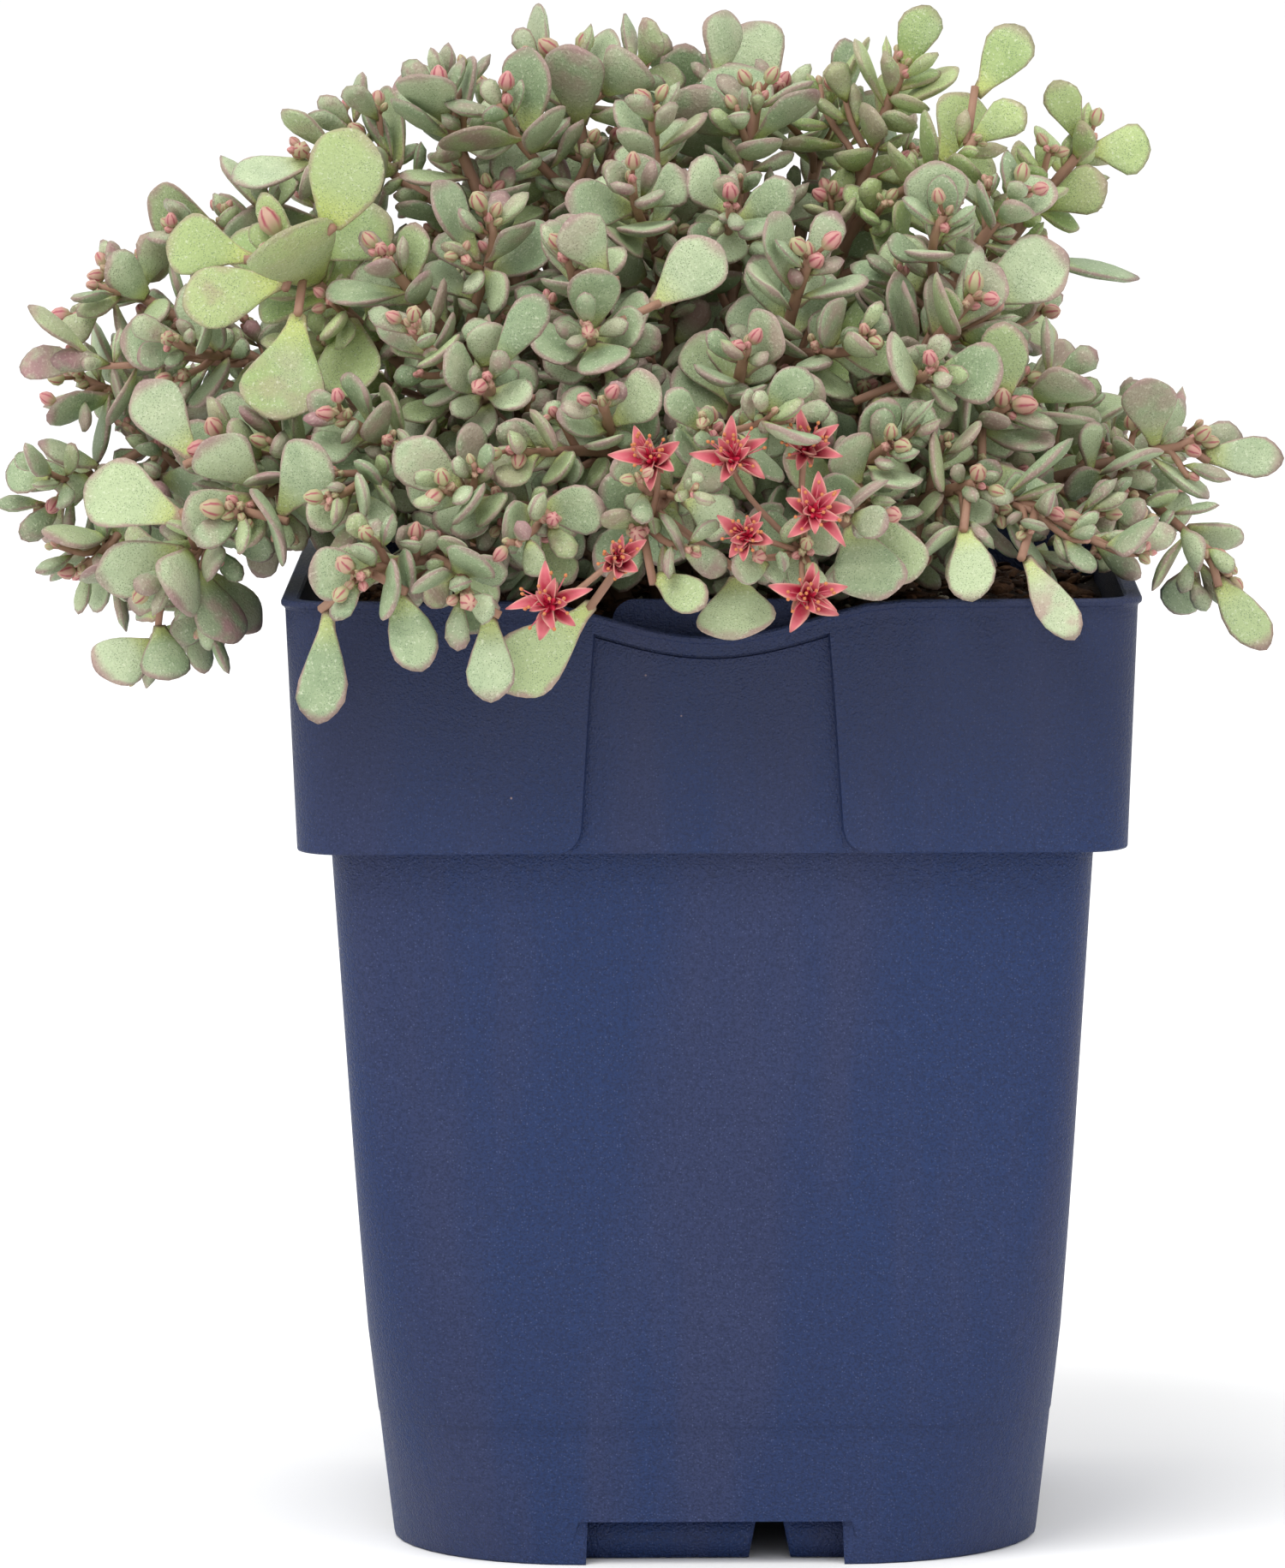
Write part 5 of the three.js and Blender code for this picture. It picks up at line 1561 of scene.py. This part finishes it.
def edge_shoots():
    """A shoot to each place of the edge table, from whichever stem passes nearest on a
    way that leads there."""
    places = [
        (plant, course) + course.back(back)
        for plant in plants for course in plant.courses
        for back in np.arange(5, course.total * 0.75, 2.0)]
    starts = np.array([place[2] for place in places])
    ways = np.array([place[3] for place in places])
    shoots = []
    for entry in EDGE_TIPS:
        tip = np.array(entry[:3], float)
        span = tip - starts
        length = np.linalg.norm(span, axis=1)
        turn = (span * ways).sum(1) / length
        cost = np.where((length > 5) & (turn > 0.1), length * (1.7 - turn), 1000)
        plant, parent, start, way = places[int(np.argmin(cost))]
        arriving = unit(tip - CROWN_HEART + UP * 8)
        shoot = Course(start, way, tip, arriving, SHOOT_STEPS, owners, SHOOT_RADIUS, lift=0)
        claim_shoot(plant, shoot)
        shoots.append((plant, shoot, entry[3]))
    return shoots


for _, _, plant, order, course, size in along_stems([0]):
    grow_spray(plant, course, size, buds=12 if order == 0 else 9, bracts=8)
for plant, shoot, size in edge_shoots():
    turn = plant.extra() * np.pi
    size = size * 0.95
    grow_spray(plant, shoot, size, buds=5, bracts=7)
    for step, back in enumerate((3.0, 6.0, 9.5, 13.5)):
        grow_leaves(plant, shoot, size, back, turn + step * ACROSS, lean=0.6 + step * 0.15)
for step, back, plant, order, course, size in along_stems((4.2, 9.0, 12.5)):
    turn = plant.extra() * np.pi
    grow_leaves(plant, course, size * 0.95, back, turn, lean=0.62 + step * 0.16)
for step, back, plant, order, course, size in along_stems(SHOOT_BACKS):
    if back > course.total * (0.62 if order == 0 else 0.8):
        continue
    length = between(8, 14, plant.extra()) * size
    turn = step * GOLDEN_TURN + plant.index
    shoot = grow_shoot(plant, course, back, length, turn)
    if shoot is not None:
        grow_spray(plant, shoot, size * 0.9, buds=6, bracts=6)
        grow_leaves(plant, shoot, size * 0.9, back=3.2, turn=turn, lean=0.8)
        grow_leaves(plant, shoot, size * 0.9, back=6.5, turn=turn + 1.6, lean=1.0)
for backs, share, shortest in ((LOWER_BACKS, 1.02, 0.58), (FILLING_BACKS, 0.72, 0.5)):
    for step, back, plant, order, course, size in along_stems(backs):
        if back <= course.total * 0.8:
            turn = step * ACROSS + plant.extra()
            grow_leaves(plant, course, size * share, back, turn, 1.2, shortest)
print("shoots", sum(len(plant.shoots) for plant in plants))
print("leaves and bracts", sum(len(plant.leaves) for plant in plants))
print("buds", sum(len(plant.buds) for plant in plants))

# %% [markdown]
# Surfaces of buds and stems
#
# A bud is an onion of five petals folded round each other, on a thin stalk. Its surface
# is a profile turned round the bud's axis, pushed out a little along five ribs; how far
# a point lies on a rib and how high it lies are stored for the stripes. A stem is a
# round section carried along its course, thicker at the soil and knobbly where leaves
# have dropped, and its share of the way from root to tip is stored for its colour.

# %% Bud and stem formulas
BUD_PROFILE = np.array([
    (0.0, 0), (0.02, 0), (0.14, 0.70), (0.42, 1.0), (0.70, 0.84), (0.90, 0.42)])
BUD_COLUMNS = 10
BUD_BODY = 2.7
BUD_SLIM = 0.86
STALK_HALF = 0.32
STEM_COLUMNS = 8
TWIG_COLUMNS = 6
KNOT_SPACING = 5.2


def frames_about(way):
    """Two ways square to each of many ways, from whichever axis lies less along it."""
    helper = np.where(np.abs(way[..., 2:3]) > 0.8, [1.0, 0, 0], [0, 0, 1.0])
    first = np.cross(helper, way)
    first = first / np.linalg.norm(first, axis=-1, keepdims=True)
    return first, np.cross(way, first)


def bud_surface(buds):
    """All buds of a list: each profile ring has ten points, every other one pushed out
    on a rib; the stalk's radius is the same on all buds, and the tip is one point."""
    base, way = (np.stack([bud[part] for bud in buds])[:, None, None] for part in (0, 1))
    length, full = (np.array([bud[part] for bud in buds])[:, None, None] for part in (2, 3))
    first, second = frames_about(way)
    radius = full * BUD_SLIM
    height, fullness = (column[:, None] for column in BUD_PROFILE.T)
    angle = round_angles(BUD_COLUMNS)
    rib = np.cos(5 * angle)
    row = np.arange(len(BUD_PROFILE))[:, None]
    body = np.minimum(BUD_BODY * radius / length, 0.85)
    rows = np.where(row == 0, 0, 1 - body * (1 - height))
    width = np.where(row < 2, STALK_HALF, fullness * radius * (1 + 0.09 * rib))
    rings = (base + (length * rows)[..., None] * way
             + (width * np.cos(angle))[..., None] * first
             + (width * np.sin(angle))[..., None] * second)
    tips = base[:, 0] + way[:, 0] * length
    points = np.concatenate([rings.reshape(len(buds), -1, 3), base[:, 0], tips], 1)
    size = row.size * BUD_COLUMNS
    on_rib = np.append(np.tile((rib + 1) / 2, row.size), [1, 1])
    up = np.append(np.repeat(height - 0.02, BUD_COLUMNS), [0, 1])
    tint = np.array([bud[4] for bud in buds])[:, None]
    shades = stored(points, on_rib, up, tint, np.clip(full[:, 0] / 1.8, 0, 1))
    return points, ring_faces(row.size, BUD_COLUMNS), end_fans(size, BUD_COLUMNS), shades


def tube_surface(line, radii, columns, share, tint):
    """A round section carried along a line of points, closed at both ends by a fan."""
    ahead = np.gradient(line, axis=0)
    ahead = ahead / np.linalg.norm(ahead, axis=1, keepdims=True)
    steep = np.abs(ahead[:, 2])
    helper = np.array([1.0, 0, 0] if steep.min() > 0.75 else [0.1, 1.0, 0])
    helper = UP if steep.max() < 0.8 else helper
    first = np.cross(helper, ahead)
    first = first / np.linalg.norm(first, axis=1, keepdims=True)
    second = np.cross(ahead, first)
    angle = round_angles(columns)[:, None]
    ring = np.cos(angle) * first[:, None] + np.sin(angle) * second[:, None]
    rings = line[:, None] + np.broadcast_to(radii, len(line))[:, None, None] * ring
    points, quads, fans = capped(rings)
    share = np.broadcast_to(share, len(line))
    share = np.append(share.repeat(columns), share[[0, -1]])
    return points[None], quads, fans, stored(points[None], 0, share, tint)


def stem_surface(course, rows, root_radius, tip_radius, low_share, tint):
    """The tube of a course: its radius falls from root to tip and swells at knots."""
    run = np.linspace(0, 1, rows)
    shares = np.interp(run, np.linspace(0, 1, len(course.shares)), course.shares)
    line = bezier(course.ends, shares)
    knot_turn = 2 * np.pi * run * course.total / KNOT_SPACING + tint * 9
    knots = 1 + 0.1 * np.clip(np.cos(knot_turn) - 0.3, 0, 1)
    radii = between(root_radius, tip_radius, run) * knots
    return tube_surface(line, radii, STEM_COLUMNS, between(low_share, 1.0, run), tint)


# %% [markdown]
# Finishes of leaves, buds and stems
#
# The leaf is grey green under a dull wax, yellow green where it leaves the stem, dotted
# all over with tiny dark points, and flushed with purple along its rim and most on its
# tip. Bracts carry much more of the purple. Buds are striped: crimson lines run up
# between cream and pink ribs. Stems are brown at the soil and redden towards the tips.

# %% Leaf, bud and stem finishes
def leaf_finish(name, low, high, foot, flush_more):
    """Green from low to high by chance and cloud, the foot's yellow below half of the
    reach, dots from small cells, and the purple flush by rim, tip, leaf and cloud."""
    leaf = Finish(name, roughness=0.6, specular=0.3)
    mix, spread, noise, times, plus = leaf.steps()
    rim, reach, tint, purple_share = (leaf.shade(channel) for channel in range(4))
    cloud, patch, fine = noise(260, 3.0), noise(90, 2.0), noise(2300, 2.0)
    green = mix(spread(plus(tint, cloud), 0.45, 1.35), low, high)
    green = mix(spread(patch, 0.42, 0.72, 0, 0.35), green, (184, 196, 162))
    green = mix(spread(tint, 0.66, 0.95, 0, 0.6), green, (146, 164, 104))
    green = mix(spread(reach, 0.08, 0.48, 0.85, 0), green, foot)
    dots = spread(leaf.cells(3700)[0], 0.12, 0.46, 0.75, 0)
    patchy = spread(noise(500, 2.0), 0.3, 0.6, 0.3, 1)
    green = mix(times(dots, patchy), green, (92, 110, 84))
    green = mix(spread(fine, 0.56, 0.76, 0, 0.5), green, (218, 224, 196))
    edge = spread(plus(rim, times(cloud, 0.36)), 1.04, 1.18)
    tip = spread(plus(reach, times(patch, 0.5)), 1.12, 1.34)
    tip = times(tip, spread(rim, 0.55, 0.95))
    flush = leaf.combine("MAXIMUM", times(edge, 0.72), times(tip, 0.85))
    own_flush = times(purple_share, spread(plus(patch, cloud), 0.85, 1.15, 0.15, 1.0))
    own_flush = times(own_flush, spread(reach, 0.2, 0.75, 0.2, 1.0))
    flush = times(leaf.combine("MAXIMUM", flush, own_flush), flush_more)
    purple = mix(cloud, (126, 88, 96), (174, 134, 134))
    purple = mix(spread(fine, 0.52, 0.72, 0, 0.45), purple, (200, 176, 166))
    leaf.colour(mix(flush, green, purple))
    leaf.roughen(spread(cloud, 0.3, 0.7, 0.5, 0.68))
    leaf.bump(plus(fine, times(patch, 2.0)), distance=0.00018, strength=0.7)
    return leaf


def bud_finish():
    """Cream and pink ribs by chance, greener below, with red between the ribs, least
    on small buds, above a brown stalk."""
    bud = Finish("bud", roughness=0.5, specular=0.35)
    mix, spread, noise, times, _ = bud.steps()
    rib, height, tint, fullness = (bud.shade(channel) for channel in range(4))
    cream = mix(spread(tint, 0.1, 0.9), (170, 163, 124), (194, 138, 132))
    cream = mix(spread(height, 0.0, 0.5, 0.8, 0), cream, (158, 164, 118))
    stripe = spread(rib, 0.45, 0.0)
    stripe = times(stripe, spread(height, 0.12, 0.5, 0.2, 0.95))
    stripe = times(stripe, spread(fullness, 0.35, 0.75, 0.55, 1))
    red = mix(noise(400, 2.0), (138, 42, 66), (168, 76, 92))
    painted = mix(stripe, cream, red)
    bud.colour(mix(spread(height, 0.0, 0.06, 1, 0), painted, (150, 112, 92)))
    bud.bump(noise(1400, 2.0), distance=0.0001, strength=0.6)
    return bud


def stem_finish():
    """Brown bark below and pink young stem above, by the share of the way from the
    root and a little cloud."""
    stem = Finish("stem", roughness=0.6, specular=0.3)
    mix, spread, noise, times, plus = stem.steps()
    rise = plus(stem.shade(1), times(noise(120, 3.0), 0.5))
    bark = mix(noise(700, 4.0), (92, 72, 58), (138, 108, 88))
    young = mix(noise(300, 3.0), (144, 104, 90), (168, 134, 110))
    stem.colour(mix(spread(rise, 0.75, 1.2), bark, young))
    stem.bump(noise(900, 4.0, stretch=(1, 1, 0.35)), distance=0.0003, strength=0.7)
    return stem


# For each of the two leaf slots: green from, green to, the foot's yellow, the flush.
LEAF_FINISHES = {
    "leaf": leaf_finish(
        "grey leaf", (136, 155, 119), (182, 196, 158), (186, 195, 120), 1.0),
    "pale_leaf": leaf_finish(
        "pale leaf", (146, 167, 106), (181, 197, 137), (188, 198, 114), 0.7),
}
BUD_FINISH = bud_finish()
STEM_FINISH = stem_finish()

# %% Dress every stem
# Stem, branch and side shoot: rows, radius below, radius at the tip, and how young.
WOOD_SHAPES = [(30, 1.4, 0.75, 0.0), (12, 0.85, 0.6, 0.66), (6, 0.6, 0.42, 0.8)]
LEAF_WIDTHS = [(0.0, 4.4, BRACT_DISC), (4.4, 7.8, LEAF_DISC), (7.8, 99.0, BROAD_DISC)]


def dress_stem(plant):
    """The leaves, the woody parts and the buds of one stem as three pieces."""
    number = f"{plant.index + 1:02d}"
    node = f"stem_{number}"
    slot = "pale_leaf" if plant.index + 1 in PALE_STEMS else "leaf"
    leaves = Heap()
    for least, most, disc in LEAF_WIDTHS:
        blades = [blade for blade in plant.leaves if least < blade.width <= most]
        if blades:
            leaves.add(*blade_surface(blades, disc))
    place_piece(leaves.piece(f"leaves_{number}"), [node], LEAF_FINISHES[slot])
    wood = Heap()
    tint = (plant.index * 0.37) % 1
    wood_kinds = (plant.courses[:1], plant.courses[1:], plant.shoots)
    for courses, shape in zip(wood_kinds, WOOD_SHAPES):
        for course in courses:
            wood.add(*stem_surface(course, *shape, tint))
    for line, radius, share in plant.twigs:
        wood.add(*tube_surface(line, radius, TWIG_COLUMNS, share, tint))
    place_piece(wood.piece(f"wood_{number}"), [node], STEM_FINISH)
    buds = Heap()
    if plant.buds:
        buds.add(*bud_surface(plant.buds))
        place_piece(buds.piece(f"buds_{number}"), [node], BUD_FINISH)
    return leaves.count, wood.count, buds.count


counts = np.array([dress_stem(plant) for plant in plants])
print("points in leaves, wood and buds", counts.sum(0))

# %% [markdown]
# Open blooms
#
# An open bloom is a loose star of narrow petals, five outer and five more upright inner
# ones, folded like boats, crimson inside and paler with a red keel outside, on five
# short sepals. No two petals lie alike: each leans, curls and turns a little in its own
# way. Sixteen thin stamens carry tan anthers, and five crimson carpels stand in the
# heart. Each part is one small closed grid; they are gathered in one piece for each
# bloom, and the kind of part is stored with the shades.

# %% Bloom formulas
PETAL_ROWS = 10
PETAL_COLUMNS = 10
CARPELS = 5
CARPEL_TURN = 1.2566
STAMENS = 16
STAMEN_TURN = 0.6283
PETAL_HALF_THICK = 0.24
PETAL_FOLD = 2.2
BLOOM_OPENNESS = [1.0, 1.2, 0.85, 1.25, 1.1, 1.3, 0.75, 1.05]


def petal_surface(heart, facing, draw, openness, length, width, phase, kind=0.0):
    """Five folded petals: the half width follows a sine of the reach, so both ends are
    pointed; the section is a lens whose middle sinks below its rims in a deep fold, and
    the middle line curls with the reach squared."""
    reach = np.linspace(0.02, 0.98, PETAL_ROWS)[:, None]
    angle = round_angles(PETAL_COLUMNS)[None]
    copies = []
    for petal in range(PETALS):
        lean = openness * between(0.8, 1.12, draw())
        turn = phase + petal / PETALS * 2 * np.pi + (draw() - 0.5) * 0.5
        way = leaning(facing, lean, turn)
        face = turned_about(unit(facing - way * (facing @ way)), way, (draw() - 0.5) * 0.9)
        side = np.cross(face, way)
        long = length * between(0.82, 1.08, draw())
        wide = width * between(0.8, 1.15, draw())
        curl, bow = between(-0.34, 0.34, draw()), between(-0.2, 0.2, draw())
        half = wide / 2 * np.sin(np.pi * reach ** 0.85) ** 0.8
        across = half * np.cos(angle)
        lens = PETAL_HALF_THICK * np.sin(np.pi * reach) ** 0.5 * np.sin(angle)
        rise = lens + PETAL_FOLD * across ** 2 / wide + curl * long * reach ** 2
        aside = across + bow * long * reach ** 2
        rings = (heart + (reach * long)[..., None] * way + aside[..., None] * side
                 + rise[..., None] * face)
        points, quads, fans = capped(rings)
        copies.append(points)
    points = np.stack(copies)
    rim = np.append(np.abs(np.cos(angle)).repeat(PETAL_ROWS, 0), [0, 0])
    up = np.append(reach.repeat(PETAL_COLUMNS, 1), [0, 1])
    chance_of = (np.arange(PETALS) * 0.37 % 1)[:, None]
    outside = np.append(kind + 0.1 * (np.sin(angle) < -0.1).repeat(PETAL_ROWS, 0), [0, 0])
    return points, quads, fans, stored(points, rim, up, chance_of, outside)


def spindle(base, way, length, radii, kind, columns=6):
    """Rings along a straight way with the given radii, closed at both ends."""
    rows = np.linspace(0, 1, len(radii))
    first, second = frames_about(way[None])
    angle = round_angles(columns)[:, None]
    ring = np.cos(angle) * first[:, None] + np.sin(angle) * second[:, None]
    rings = (base + (rows * length)[:, None, None] * way
             + np.array(radii)[:, None, None] * ring)
    points, quads, fans = capped(rings)
    up = np.append(rows.repeat(columns), [0, 1])
    return points[None], quads, fans, stored(points[None], 0, up, 0, kind)


def bloom_piece(number, at, facing):
    """One open bloom at its centre, facing its way."""
    heart, facing = np.array(at, float), unit(np.array(facing, float))
    draw = drawn_from(777 + number)
    open_by = BLOOM_OPENNESS[number - 1]
    parts = Heap()
    # Outer petals, inner petals and sepals: back from the heart, openness, length,
    # width, turn and kind.
    for behind, openness, length, width, turn, kind in (
            (0.6, 1, 6.3, 2.2, 0, 0.0), (0.4, 0.62, 5.2, 1.8, 0.5, 0.0),
            (1.2, 0.8, 3.2, 1.5, 0.63, 0.1)):
        parts.add(*petal_surface(heart - facing * behind, facing, draw, open_by * openness,
                                 length, width, at[0] + turn, kind))
    for index in range(CARPELS):
        way = leaning(facing, 0.3 * open_by, index * CARPEL_TURN + at[0])
        radii = (0.25, 0.55, 0.6, 0.34, 0.1)
        parts.add(*spindle(heart - facing * 0.6, way, 3.4, radii, kind=0.35))
    for index in range(STAMENS):
        lean = open_by * between(0.15, 0.95, draw())
        way = leaning(facing, lean, index * STAMEN_TURN + draw() * 0.4)
        length = between(3.4, 5.0, draw())
        parts.add(*spindle(heart, way, length, (0.12, 0.1, 0.08), kind=0.6, columns=5))
        anther = heart + way * (length - 0.1)
        parts.add(*spindle(anther, way, 0.6, (0.1, 0.26, 0.26, 0.1), kind=1.0))
    seat = heart - facing * 1.5
    parts.add(*spindle(seat, facing, 1.4, (0.5, 0.85, 1.0), kind=0.35, columns=8))
    piece = parts.piece(f"bloom_{number}_petals")
    place_piece(piece, [f"bloom_{number}"], BLOOM_FINISH)


def bloom_finish():
    """By the kind of part: petals crimson to pink inside with pale rims, keeled outside,
    all with browned ends; then the red heart, the pink stamens and the anthers."""
    bloom = Finish("bloom", roughness=0.5, specular=0.3)
    mix, spread, noise, times, _ = bloom.steps()
    rim, reach, _, kind = (bloom.shade(channel) for channel in range(4))
    inner = mix(spread(reach, 0.25, 0.9), (178, 4, 60), (202, 108, 116))
    rim_share = spread(rim, 0.5, 1.0, 0, 0.85)
    rim_share = times(rim_share, spread(reach, 0.1, 0.5, 0.3, 1))
    inner = mix(rim_share, inner, (214, 162, 146))
    outer = mix(spread(rim, 0.0, 0.45), (148, 50, 68), (190, 142, 122))
    petal = mix(spread(kind, 0.03, 0.07), inner, outer)
    petal = mix(spread(noise(900, 3.0), 0.42, 0.66, 0, 0.35), petal, (200, 122, 120))
    petal = mix(spread(reach, 0.8, 1.0, 0, 0.6), petal, (140, 84, 74))
    heart_red = mix(reach, (146, 6, 44), (190, 34, 64))
    flower = mix(spread(kind, 0.25, 0.3), petal, heart_red)
    flower = mix(spread(kind, 0.45, 0.55), flower, (194, 96, 106))
    bloom.colour(mix(spread(kind, 0.7, 0.9), flower, (190, 118, 74)))
    bloom.bump(noise(1300, 2.0), distance=0.0001, strength=0.6)
    return bloom


BLOOM_FINISH = bloom_finish()
for number, (stem, at, facing) in enumerate(BLOOMS, 1):
    bloom_piece(number, at, facing)
print("blooms", len(BLOOMS))
